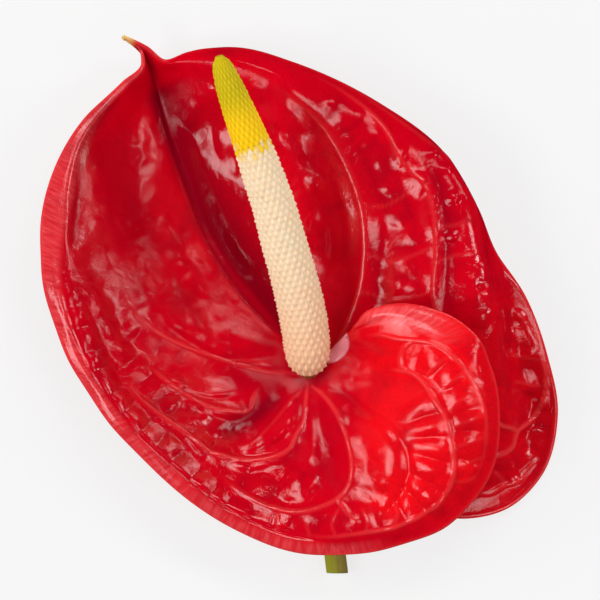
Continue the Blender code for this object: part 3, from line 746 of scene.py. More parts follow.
# Short ridges of the right half, as on the left; the runs go upwards in the plan.
RIGHT_STROKES = (
    # inside the first long vein
    stroke(0.45, 1.0, 2.6, (334, 268), (334, 240), (333, 209)),
    stroke(0.35, 0.9, 1.8, (347, 268), (352, 236), (350, 214), (343, 192), (335, 166)),
    stroke(0.50, 1.2, 3.0, (296, 200), (303, 184), (309, 168)),
    stroke(0.30, 0.8, 1.4, (319, 196), (318, 175)),
    stroke(0.50, 1.0, 2.6, (304, 162), (302, 146), (298, 132)),
    stroke(0.50, 1.0, 2.8, (308, 234), (314, 220), (320, 208)),
    stroke(0.45, 1.0, 2.4, (279, 156), (279, 140), (277, 126)),
    stroke(0.35, 1.0, 2.0, (331, 296), (335, 282), (336, 274)),
    # beside the midrib
    stroke(0.45, 2.2, 1.0, (190, 130), (192, 113), (197, 99)),
    stroke(0.50, 2.2, 1.2, (224, 172), (215, 158), (209, 140), (208, 117)),
    stroke(0.60, 3.0, 1.2, (233, 182), (232, 165), (226, 147)),
    stroke(0.35, 3.5, 1.5, (255, 232), (248, 214), (238, 200)),
    stroke(0.35, 3.0, 1.2, (262, 256), (258, 244), (254, 234)),
    stroke(0.40, 3.2, 1.2, (270, 292), (263, 278), (257, 264)),
    stroke(0.30, 2.4, 1.4, (226, 100), (214, 92), (202, 84)),
    # between the long veins
    stroke(0.35, 2.0, 1.0, (389, 194), (389, 181)),
    stroke(0.60, 4.5, 1.5, (398, 230), (401, 218), (404, 208)),
    stroke(0.35, 1.8, 1.0, (410, 246), (411, 222)),
    stroke(0.40, 2.2, 0.8, (429, 244), (430, 222), (427, 200)),
    stroke(0.50, 4.0, 1.0, (430, 312), (431, 282), (430, 254)),
    stroke(0.50, 4.0, 1.2, (392, 296), (400, 284), (404, 270)),
    stroke(0.45, 2.6, 1.0, (396, 172), (402, 156), (403, 140)),
    stroke(0.40, 1.6, 0.9, (362, 154), (370, 142), (379, 130)),
    stroke(0.40, 2.0, 0.9, (352, 128), (358, 118), (363, 106)),
    stroke(0.35, 1.8, 0.8, (333, 108), (334, 94)),
    stroke(0.60, 4.5, 1.2, (414, 198), (423, 184), (425, 170)),
    stroke(0.30, 1.2, 0.8, (382, 170), (381, 152)),
    # outside them
    stroke(0.80, 2.2, 1.0, (453, 206), (455, 190)),
    stroke(0.80, 2.2, 1.0, (453, 243), (454, 230)),
    stroke(0.60, 1.8, 1.0, (434, 158), (433, 147)),
    stroke(0.60, 1.8, 1.0, (447, 174), (448, 164)),
    stroke(0.70, 2.8, 1.2, (476, 314), (474, 288), (466, 264)),
    stroke(0.70, 2.4, 1.2, (496, 350), (502, 325), (500, 298)),
    # back lobe
    stroke(0.60, 2.6, 1.4, (524, 322), (526, 308)),
    stroke(0.60, 3.6, 1.4, (516, 356), (532, 352), (540, 346)),
    stroke(0.90, 3.6, 1.4, (512, 390), (528, 388), (542, 386)),
    stroke(0.70, 3.0, 1.6, (496, 426), (512, 420), (526, 406)),
    stroke(0.60, 2.0, 1.2, (508, 470), (506, 452)),
    stroke(0.70, 2.6, 1.2, (506, 482), (520, 474)),
)
RIGHT_PILLOWS = (
    PillowBand(
        ((404, 300), (406, 262), (401, 220), (388, 180), (368, 147), (345, 117), (318, 94)),
        pitch=6.6, left=3.9, right=3.9, height=0.25, seed=21,
    ),
    PillowBand(((478, 330), (484, 292), (480, 262)), pitch=6.5, left=2.4, right=2.4, height=0.4, seed=28),
    PillowBand(
        ((518, 322), (527, 352), (526, 384), (512, 414)),
        pitch=6.0, left=3.4, right=3.4, height=0.3, seed=24,
    ),
    PillowBand(
        ((548, 392), (541, 428), (526, 452), (500, 470), (470, 478)),
        pitch=5.0, left=2.6, right=2.6, height=0.6, seed=25,
    ),
    PillowBand(
        ((548, 440), (532, 482), (505, 500), (470, 506)),
        pitch=1.3, left=1.6, right=1.6, height=0.1, seed=26,
    ),
)


@dataclass(frozen=True)
class Lay:
    """Where the vertices of a half lie: in space, on the plan, and over the blade in millimetres."""

    points: np.ndarray
    plan: np.ndarray
    run: np.ndarray
    outward: np.ndarray
    inward: np.ndarray
    width: np.ndarray
    past_collar: np.ndarray


@dataclass
class HalfSpathe:
    """One half of the spathe, as a surface over its margin's run and a share of the way out from the foot."""

    side: Side
    ribs: tuple
    lifts: tuple
    veins: tuple[Vein, ...]
    forms: tuple[Fold | PillowBand, ...]
    row_step: float = 0.52
    midrib_rows: int = 230
    first_angle: float = field(init=False)
    last_angle: float = field(init=False)
    keys: np.ndarray = field(init=False)
    places: list[float] = field(init=False)
    columns: list = field(init=False)

    def __post_init__(self) -> None:
        """Work out the columns of points that the surface passes through."""
        self.first_angle = self.ribs[0][1]
        self.last_angle = [value for kind, value, *_ in self.ribs if kind == "collar"][-1]
        self.keys = lengths_along(np.array([margin for _, _, margin, _, _ in self.ribs]))
        self.places = [self.place(kind, value) for kind, value, *_ in self.ribs]
        self.columns = [[] for _ in COLUMNS]
        for foot, (_, _, margin, reaches, heights) in zip(self.feet(self.places), self.ribs):
            outer = np.array(margin)
            for column, reach, height in zip(self.columns[1:], reaches, heights):
                at = foot + (outer - foot) * reach
                column.append((at[0], at[1], height))
            self.columns[-1].append(outer)

    def place(self, kind: str, value: float) -> float:
        """Turn a rib's start into a foot position.

        Args:
            kind: collar or midrib.
            value: degrees round the collar, or a share of the midrib.

        Returns:
            A position from 0 to 1 round the collar, or from 1 to 2 along the midrib.
        """
        if kind == "midrib":
            return 1.0 + value
        return (value - self.first_angle) / (self.last_angle - self.first_angle)

    def collar_point(self, angle: float, lift: float) -> np.ndarray:
        """Find a point on the tilted collar ring.

        Args:
            angle: degrees round the ring.
            lift: height over the ring.

        Returns:
            The point in millimetres.
        """
        turn = math.radians(angle)
        across, along = COLLAR_RADIUS * math.cos(turn), COLLAR_RADIUS * math.sin(turn)
        rise = -(COLLAR_TILT[0] * across + COLLAR_TILT[1] * along) / COLLAR_TILT[2]
        return np.array(COLLAR_CENTRE) + np.array([across, along, rise + lift])

    def feet(self, places: Any) -> np.ndarray:
        """Find where rows start, on the collar or on the midrib.

        Args:
            places: foot positions of the rows.

        Returns:
            One point in millimetres per row.
        """
        line = (tuple(self.collar_point(MIDRIB_ANGLE, 0.0)), *MIDRIB)
        shares = np.linspace(0.0, 1.0, len(line))
        feet = []
        for place in places:
            if place >= 1.0:
                feet.append(smooth_curve(shares, line, [place - 1.0])[0])
                continue
            angle = self.first_angle + place * (self.last_angle - self.first_angle)
            feet.append(self.collar_point(angle, float(np.interp(angle, *zip(*self.lifts)))))
        return np.array(feet)

    def runs(self) -> np.ndarray:
        """Work out the rows: even steps round the lobe, then the rows that both halves share.

        Returns:
            The margin's run at each row.
        """
        knee = self.keys[self.places.index(1.0)]
        lobe = np.linspace(0.0, knee, int(knee / self.row_step))[:-1]
        midrib = 1.0 + np.linspace(0.0, 1.0, self.midrib_rows)
        return np.concatenate((lobe, np.interp(midrib, self.places, self.keys)))

    def surface(self, shares: np.ndarray) -> np.ndarray:
        """Work out the smooth surface.

        Args:
            shares: the way out from the foot of each column, from 0 to 1.

        Returns:
            A grid of points in millimetres, one row per run and one column per share.
        """
        runs = self.runs()
        rows = [self.feet(np.interp(runs, self.keys, self.places))]
        rows += [smooth_curve(self.keys, column, runs) for column in self.columns[1:]]
        rows = np.array(rows)
        return np.array([smooth_curve(COLUMNS, rows[:, index], shares) for index in range(len(runs))])

    def lay(self, grid: np.ndarray) -> Lay:
        """Measure where each point of the surface lies.

        Args:
            grid: the surface's points.

        Returns:
            Their measures, row after row.
        """
        count, columns = grid.shape[:2]
        points = grid.reshape(-1, 3)
        steps = np.linalg.norm(np.diff(grid, axis=1), axis=2)
        outward = np.concatenate((np.zeros((count, 1)), np.cumsum(steps, axis=1)), axis=1)
        width = np.repeat(outward[:, -1], columns)
        outward = outward.reshape(-1)
        row = np.repeat(np.arange(count), columns)
        past_collar = np.clip((row - count + self.midrib_rows) / self.midrib_rows, 0.0, 1.0)
        plan = plan_of(points + FRAME_SHIFT)
        return Lay(points, plan, row * self.row_step, outward, width - outward, width, past_collar)


@dataclass(frozen=True)
class CellNet:
    """A net of irregular cells of one size, in millimetres, through which a surface passes."""

    size: float
    seed: int
    table_side: int = 32
    border: float = 0.1

    def read(self, points: np.ndarray) -> tuple[np.ndarray, np.ndarray]:
        """Measure the net at points.

        Args:
            points: places in millimetres.

        Returns:
            The distance to the nearest wall between cells, in cell sizes, and the cell's own random number.
        """
        rng = np.random.default_rng(self.seed)
        table = rng.random((self.table_side, self.table_side, self.table_side, 4))
        scaled = points / self.size
        home = np.floor(scaled).astype(int)
        first, second = np.full((2, len(points)), np.inf)
        number = np.zeros(len(points))
        for step in np.ndindex(3, 3, 3):
            cell = home + np.array(step) - 1
            drawn = table[tuple((cell % self.table_side).T)]
            middle = cell + self.border + (1.0 - 2 * self.border) * drawn[:, :3]
            away = np.linalg.norm(middle - scaled, axis=1)
            closer = away < first
            second = np.where(closer, first, np.minimum(second, away))
            number = np.where(closer, drawn[:, 3], number)
            first = np.minimum(first, away)
        return second - first, number


@dataclass
class Reading:
    """A number read from a node's socket, on which Python's arithmetic adds Math nodes."""

    recipe: "Recipe"
    socket: Any

    def math(self, operation: str, first: Any, second: Any) -> "Reading":
        """Add one Math node and read its result."""
        return self.recipe.node("ShaderNodeMath", {"operation": operation}, {0: first, 1: second})

    def __add__(self, other: Any) -> "Reading":
        """Sum."""
        return self.math("ADD", self, other)

    def __radd__(self, other: Any) -> "Reading":
        """Sum, with the reading second."""
        return self.math("ADD", other, self)

    def __mul__(self, other: Any) -> "Reading":
        """Product."""
        return self.math("MULTIPLY", self, other)

    def __rmul__(self, other: Any) -> "Reading":
        """Product, with the reading second."""
        return self.math("MULTIPLY", other, self)


@dataclass(frozen=True)
class Noise:
    """A noise, with its scale in features per unit."""

    scale: float
    detail: float
    roughness: float = 0.55
    twist: float = 0.0
    stretch: tuple = (1.0, 1.0, 1.0)


@dataclass
class Recipe:
    """The nodes of one finish."""

    name: str
    material: bpy.types.Material = field(init=False)

    def __post_init__(self) -> None:
        """Start an empty material."""
        self.material = bpy.data.materials.new(self.name)
        self.material.use_nodes = True
        self.material.node_tree.nodes.clear()

    def node(self, kind: str, settings: dict[str, Any], inputs: dict[Any, Any], output: Any = 0) -> Reading:
        """Add a node.

        Args:
            kind: the node's type.
            settings: its settings, which are set first.
            inputs: the value or the reading of each socket.
            output: the socket to read.

        Returns:
            The reading of that socket.
        """
        made = self.material.node_tree.nodes.new(kind)
        for key, value in settings.items():
            setattr(made, key, value)
        for key, value in inputs.items():
            if isinstance(value, Reading):
                self.material.node_tree.links.new(value.socket, made.inputs[key])
            else:
                made.inputs[key].default_value = value
        return Reading(self, made.outputs[output] if len(made.outputs) else None)

    def attribute(self, name: str, output: str = "Fac") -> Reading:
        """Read one of the piece's own attributes."""
        return self.node("ShaderNodeAttribute", {"attribute_name": name}, {}, output)

    def coats(self, body: Any, *coats: tuple[Any, Any]) -> Any:
        """Lay colours over a first one.

        Args:
            body: the first colour.
            coats: the share and the colour of each coat, the lowest first.

        Returns:
            The colour that shows.
        """
        for share, over in coats:
            body = self.node("ShaderNodeMix", {"data_type": "RGBA"}, {0: share, 6: body, 7: over}, 2)
        return body

    def noise(self, where: Reading, noise: Noise) -> Reading:
        """Read a noise.

        Args:
            where: the coordinates.
            noise: which noise.

        Returns:
            The reading, about 0.5 on average.
        """
        where = self.node("ShaderNodeMapping", {}, {"Vector": where, "Scale": noise.stretch})
        inputs = {"Vector": where, "Scale": noise.scale, "Detail": noise.detail}
        inputs |= {"Roughness": noise.roughness, "Distortion": noise.twist}
        return self.node("ShaderNodeTexNoise", {}, inputs)

    def place(self) -> Reading:
        """Object coordinates."""
        return self.node("ShaderNodeTexCoord", {}, {}, "Object")

    def rise(self, start: float, full: float, value: Reading) -> Reading:
        """Rise smoothly from 0 to 1 as value goes from start to full."""
        inputs = {"Value": value, "From Min": start, "From Max": full}
        return self.node("ShaderNodeMapRange", {"interpolation_type": "SMOOTHSTEP"}, inputs)

    def bump(self, height: Reading, strength: float, distance: float) -> Reading:
        """Turn a height into a normal."""
        inputs = {"Height": height, "Strength": strength, "Distance": distance}
        return self.node("ShaderNodeBump", {}, inputs)

    def finish(
        self, sockets: dict[str, Any], duller: dict[str, Any] | None = None, share: Any = None
    ) -> bpy.types.Material:
        """Close the material with its surface shader.

        Args:
            sockets: what goes into the shader.
            duller: the sockets that differ where the surface is duller, if it is.
            share: how much of the duller shader shows.

        Returns:
            The material.
        """
        shader = self.node("ShaderNodeBsdfPrincipled", {}, sockets)
        if duller:
            other = self.node("ShaderNodeBsdfPrincipled", {}, {**sockets, **duller})
            shader = self.node("ShaderNodeMixShader", {}, {0: share, 1: shader, 2: other})
        self.node("ShaderNodeOutputMaterial", {}, {"Surface": shader})
        return self.material


def colour(red: int, green: int, blue: int) -> tuple[float, float, float, float]:
    """Turn display values into a linear colour.

    Args:
        red: display value from 0 to 255.
        green: the same for green.
        blue: the same for blue.

    Returns:
        The colour with its alpha.
    """
    def linear(value: int) -> float:
        """One channel."""
        share = value / 255.0
        return share / 12.92 if share <= 0.04045 else ((share + 0.055) / 1.055) ** 2.4

    return (linear(red), linear(green), linear(blue), 1.0)


@dataclass(frozen=True)
class WaxySkin:
    """The spathe's waxy red skin, paler and duller on its back."""

    name: str
    red: tuple = colour(204, 0, 24)
    # a darker red, for the random mottling and for painted shade
    deep_and_shade: tuple = colour(128, 0, 22)
    # a brighter red, painted light on the lobes
    lobe: tuple = colour(236, 10, 22)
    # the veins' paler tint, partly a painted highlight
    vein: tuple = colour(238, 64, 66)
    # painted sheen on the left rim, and the brow's pale band, partly a painted highlight
    pale_and_sheen: tuple = colour(240, 92, 96)
    # painted highlight along the margin's edge
    edge: tuple = colour(240, 64, 66)
    # the pale lining, partly a painted highlight
    lining_and_highlight: tuple = colour(236, 142, 152)
    tip: tuple = colour(226, 184, 112)
    back: tuple = colour(196, 40, 48)
    # the noises in the skin, and where each starts to show and shows fully
    mottle: Noise = Noise(90.0, 4.0)
    fine: Noise = Noise(1.0, 3.0, twist=1.4, stretch=(1.0, 0.6, 1.0))
    hatch: Noise = Noise(1.1, 3.0, 0.6, stretch=(1.0, 0.16, 1.0))
    grain: Noise = Noise(2600.0, 2.0, 0.6)
    mottle_bounds: Bounds = (0.42, 0.75)
    fine_bounds: Bounds = (0.46, 0.70)
    hatch_bounds: Bounds = (0.35, 0.70)
    # how much of each coat shows
    mottle_share: float = 0.35
    fine_share: float = 0.22
    vein_share: float = 0.52
    least_pale: float = 0.14
    hatch_share: float = 0.34
    edge_share: float = 0.55
    lining_share: float = 0.9
    back_share: float = 0.85
    roughness: float = 0.09
    fine_roughness: float = 0.04
    back_roughness: float = 0.25
    gloss: float = 0.42
    dull_gloss: float = 0.10
    grain_height: float = 0.03
    bump: float = 0.19
    bump_distance: float = 0.00035

    def make(self) -> bpy.types.Material:
        """Build the material.

        Returns:
            The material.
        """
        recipe = Recipe(self.name)
        skin = recipe.attribute("skin", "Vector")
        mottle = recipe.noise(recipe.place(), self.mottle)
        fine = recipe.noise(skin, self.fine)
        hatch = recipe.noise(skin, self.hatch)
        grain = recipe.noise(recipe.place(), self.grain)
        hatched = self.least_pale + recipe.rise(*self.hatch_bounds, hatch) * self.hatch_share
        back = recipe.attribute("back")
        body = recipe.coats(
            self.red,
            # painted shade in valleys, grooves, along the midrib, over the dish and in the throat, then
            # painted light on the lobes
            (recipe.attribute("deep_and_shade"), self.deep_and_shade),
            (recipe.attribute("lobe"), self.lobe),
            (recipe.rise(*self.mottle_bounds, mottle) * self.mottle_share, self.deep_and_shade),
            (recipe.rise(*self.fine_bounds, fine) * self.fine_share, self.deep_and_shade),
            # the veins' tint, the brow's pale band and the lining are partly painted highlights; the rim's
            # sheen and the edge line are painted
            (recipe.attribute("vein") * self.vein_share, self.vein),
            (recipe.attribute("pale_and_sheen") * hatched, self.pale_and_sheen),
            (recipe.attribute("edge") * self.edge_share, self.edge),
            (recipe.attribute("lining_and_highlight") * self.lining_share, self.lining_and_highlight),
            (recipe.attribute("tip"), self.tip),
            (back * self.back_share, self.back),
        )
        sockets = {
            "Base Color": body,
            "Roughness": self.roughness + fine * self.fine_roughness + back * self.back_roughness,
            "Normal": recipe.bump(fine + grain * self.grain_height, self.bump, self.bump_distance),
            "Specular IOR Level": self.gloss,
        }
        return recipe.finish(sockets, {"Specular IOR Level": self.dull_gloss}, recipe.attribute("dull"))


@dataclass(frozen=True)
class FloretSkin:
    """The florets' satin skin: cream to peach, and yellow to yellow-green where they are ripe."""

    name: str
    cream: tuple = colour(242, 224, 192)
    peach: tuple = colour(242, 194, 158)
    heart: tuple = colour(240, 172, 120)
    seam: tuple = colour(214, 160, 104)
    yellow: tuple = colour(246, 194, 0)
    green: tuple = colour(196, 172, 0)
    ripe_heart: tuple = colour(248, 226, 70)
    ripe_seam: tuple = colour(150, 134, 0)
    grain: Noise = Noise(2600.0, 3.0)
    # the lengths of the spadix over which the peach base and the green tip come in
    peach_bounds: Bounds = (0.45, 0.0)
    green_bounds: Bounds = (0.78, 0.90)
    # how much of each coat shows
    own_share: float = 0.22
    heart_share: float = 0.35
    seam_share: float = 0.30
    ripe_seam_share: float = 0.5
    roughness: float = 0.42
    grain_roughness: float = 0.12
    gloss: float = 0.12
    bump: float = 0.15
    bump_distance: float = 0.0002
    glow: float = 0.18
    glow_depths: tuple = (1.0, 0.6, 0.3)
    glow_scale: float = 0.0012

    def make(self) -> bpy.types.Material:
        """Build the material.

        Returns:
            The material.
        """
        recipe = Recipe(self.name)
        along, peak = recipe.attribute("along"), recipe.attribute("peak")
        groove, own = recipe.attribute("groove"), recipe.attribute("own")
        grain = recipe.noise(recipe.place(), self.grain)
        young = recipe.coats(
            self.cream,
            (recipe.rise(*self.peach_bounds, along), self.peach),
            (own * self.own_share, self.peach),
            (peak * self.heart_share, self.heart),
            (groove * self.seam_share, self.seam),
        )
        ripe = recipe.coats(
            self.yellow,
            (recipe.rise(*self.green_bounds, along), self.green),
            (peak * self.heart_share, self.ripe_heart),
            (groove * self.ripe_seam_share, self.ripe_seam),
        )
        return recipe.finish({
            "Base Color": recipe.coats(young, (recipe.attribute("ripe"), ripe)),
            "Roughness": self.roughness + grain * self.grain_roughness,
            "Normal": recipe.bump(grain, self.bump, self.bump_distance),
            "Specular IOR Level": self.gloss,
            "Subsurface Weight": self.glow,
            "Subsurface Radius": self.glow_depths,
            "Subsurface Scale": self.glow_scale,
        })


@dataclass(frozen=True)
class StemSkin:
    """The stem's olive skin with a painted brownish sheen down one side, its pale cut face and its
    orange-brown neck.
    """

    name: str = "olive_stem_skin"
    olive: tuple = colour(140, 142, 24)
    # painted sheen down one side
    sheen_brown: tuple = colour(132, 104, 52)
    dark: tuple = colour(92, 92, 10)
    pith: tuple = colour(204, 206, 150)
    neck: tuple = colour(206, 118, 44)
    streak: Noise = Noise(1.0, 4.0, stretch=(2.2, 0.12, 1.0))
    speck: Noise = Noise(1500.0, 2.0)
    streak_bounds: Bounds = (0.45, 0.75)
    streak_share: float = 0.55
    roughness: float = 0.38
    speck_roughness: float = 0.15
    gloss: float = 0.25
    bump: float = 0.25
    bump_distance: float = 0.0003

    def make(self) -> bpy.types.Material:
        """Build the material.

        Returns:
            The material.
        """
        recipe = Recipe(self.name)
        streak = recipe.noise(recipe.attribute("skin", "Vector"), self.streak)
        speck = recipe.noise(recipe.place(), self.speck)
        body = recipe.coats(
            self.olive,
            # painted sheen down one side
            (recipe.attribute("round"), self.sheen_brown),
            (recipe.rise(*self.streak_bounds, streak) * self.streak_share, self.dark),
            (recipe.attribute("cut"), self.pith),
            (recipe.attribute("neck"), self.neck),
        )
        return recipe.finish({
            "Base Color": body,
            "Roughness": self.roughness + speck * self.speck_roughness,
            "Specular IOR Level": self.gloss,
            "Normal": recipe.bump(streak, self.bump, self.bump_distance),
        })


def new_piece(
    name: str, shape: bmesh.types.BMesh, finish: bpy.types.Material, node: str
) -> bpy.types.Object:
    """Turn a finished shape into a piece that stands for a node of the frame.

    Args:
        name: the piece's name.
        shape: its shape, in metres, which is freed.
        finish: its material.
        node: the node it stands for.

    Returns:
        The piece.
    """
    for polygon in shape.faces:
        polygon.smooth = True
    mesh = bpy.data.meshes.new(name)
    shape.to_mesh(mesh)
    shape.free()
    mesh.materials.append(finish)
    piece = bpy.data.objects.new(name, mesh)
    bpy.context.scene.collection.objects.link(piece)
    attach(piece, "root")
    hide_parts(node)
    mesh.calc_loop_triangles()
    LOG.info("%s: %d triangles", name, len(mesh.loop_triangles))
    return piece


def add_numbers(piece: bpy.types.Object, numbers: dict[str, np.ndarray], spots: np.ndarray) -> None:
    """Store the finish's numbers on a piece.

    Args:
        piece: the piece.
        numbers: by name, one number or one vector per spot of the grid that the piece was made from.
        spots: the spot of each vertex.
    """
    for name, values in numbers.items():
        vector = values.ndim == 2
        layer = piece.data.attributes.new(name, "FLOAT_VECTOR" if vector else "FLOAT", "POINT")
        layer.data.foreach_set("vector" if vector else "value", values[spots].astype(np.float32).reshape(-1))


def grid_vertices(shape: bmesh.types.BMesh, rows: int, columns: int) -> list[bmesh.types.BMVert]:
    """Start a shape as a grid.

    Args:
        shape: the empty shape.
        rows: its rows of vertices.
        columns: the vertices of a row.

    Returns:
        The vertices, row after row.
    """
    made = bmesh.ops.create_grid(shape, x_segments=columns - 1, y_segments=rows - 1, size=0.5)["verts"]
    return sorted(made, key=lambda vert: (round(vert.co.y * (rows - 1) * 4), vert.co.x))


@dataclass(frozen=True)
class Bead:
    """A thin ridge that runs along the blade at one distance, or a groove where its height is below zero."""

    height: float
    distance: float
    spread: float

    def at(self, distance: np.ndarray) -> np.ndarray:
        """Height of the bead."""
        return self.height * bell(distance, self.distance, self.spread)


@dataclass(frozen=True)
class Tones:
    """How strongly the places of the blade change its finish, with painted shade, painted light, painted
    sheen and painted highlights among the changes, and over which distances in millimetres.
    """

    # painted shade near the foot, and its reach
    foot_painted_shade: float = 0.6
    foot_reach: Bounds = (4.5, 0.5)
    # the width of the margin's edge, which is thinner and carries a painted highlight
    rim_width: float = 0.55
    tip_from: Bounds = (0.90, 0.97)
    # how much the front lobe's painted light fades towards its lower margin
    dark_side: float = 0.45
    dark_side_reach: Bounds = (6.5, 4.5)
    dish_dull: float = 0.78
    dish_foot: Bounds = (1.0, 4.0)
    dish_rim: Bounds = (5.0, 8.0)
    # painted shade in the throat
    throat_painted_shade: float = 0.6
    # the painted sheen on the left rim: its blur, and how much of it the painted shade takes away
    pale_blur: float = 1.4
    pale_loss: float = 0.6
    # the brow's pale band, partly a painted highlight
    brow_pale_and_highlight: float = 2.1
    brow_band_reach: Bounds = (9.0, 7.4)
    brow_band_rim: Bounds = (0.3, 1.6)
    # painted light on the back lobe
    back_lobe_light: float = 0.35
    midrib_dull: float = 0.85
    midrib_reach: Bounds = (8.0, 4.0)
    upper_rim_dull: float = 0.7
    upper_rim_reach: Bounds = (13.0, 8.0)

    def mark(self, side: Side, lay: Lay, numbers: dict[str, np.ndarray]) -> None:
        """Mark where the finish changes.

        Args:
            side: which half.
            lay: where its vertices lie.
            numbers: its numbers, which hold vein and the painted shade and get the others.
        """
        none = np.zeros(len(lay.plan))
        # painted shade near the foot
        numbers["deep_and_shade"] = np.maximum(numbers["deep_and_shade"], ease(*self.foot_reach, lay.outward) * self.foot_painted_shade)
        # painted highlight along the margin's edge
        numbers["edge"] = bell(lay.inward, 0.0, self.rim_width)
        numbers["tip"] = ease(*self.tip_from, lay.past_collar)
        numbers["skin"] = np.stack((lay.run, lay.outward, none), axis=1)
        numbers["pale_and_sheen"] = numbers["lining_and_highlight"] = none
        if side is Side.LEFT:
            self.mark_left(lay, numbers)
        else:
            rim = self.upper_rim_dull * ease(*self.upper_rim_reach, lay.inward) * UPPER_RIM.share(lay.plan)
            # painted light on the back lobe
            numbers["lobe"] = self.back_lobe_light * BACK_LOBE.share(lay.plan)
            numbers["dull"] = np.maximum(self.midrib_dull * ease(*self.midrib_reach, lay.outward), rim)

    def mark_left(self, lay: Lay, numbers: dict[str, np.ndarray]) -> None:
        """Mark the left half's front lobe with painted light, its dish, its throat with painted shade, its
        rim with painted sheen, its brow and its lining.

        Args:
            lay: where its vertices lie.
            numbers: its numbers.
        """
        plan, inward = lay.plan, lay.inward
        front = FRONT_LOBE.share(plan)
        # painted light on the front lobe, fading towards its lower margin
        dark = self.dark_side * ease(*self.dark_side_reach, inward) * DARK_SIDE.share(plan)
        numbers["lobe"] = front * (1.0 - dark)
        dish = ease(*DISH_EDGE, plan[:, 0] + np.clip(plan[:, 1], *DISH_BEND) - DISH_BEND[0])
        dish = self.dish_dull * dish * ease(*self.dish_foot, lay.outward) * ease(*self.dish_rim, inward)
        # painted shade in the throat
        throat = np.exp(-(((plan - THROAT_MIDDLE) / THROAT_SIZE) ** 2).sum(axis=1))
        numbers["dull"] = np.maximum(dish, throat)
        numbers["deep_and_shade"] = np.maximum(numbers["deep_and_shade"] * (1.0 - front), self.throat_painted_shade * throat)
        # painted sheen on the left rim, and the brow's pale band, partly a painted highlight
        band = np.interp(plan[:, 1], *zip(*PALE_WIDTHS))
        pale_and_sheen = np.clip((band - inward) / self.pale_blur + 0.5, 0.0, 1.0) * PALE_RIM.share(plan)
        brow_pale_and_highlight = BROW_PALE_AND_HIGHLIGHT.share(plan) * ease(*self.brow_band_reach, inward) * ease(*self.brow_band_rim, inward)
        numbers["pale_and_sheen"] = pale_and_sheen * (1.0 - self.pale_loss * numbers["deep_and_shade"]) + self.brow_pale_and_highlight * brow_pale_and_highlight
        # the pale lining, partly a painted highlight
        numbers["lining_and_highlight"] = ease(*LINING_RIM, np.hypot(*(plan - LINING_MIDDLE).T)) * LINING_SIDE.share(plan)


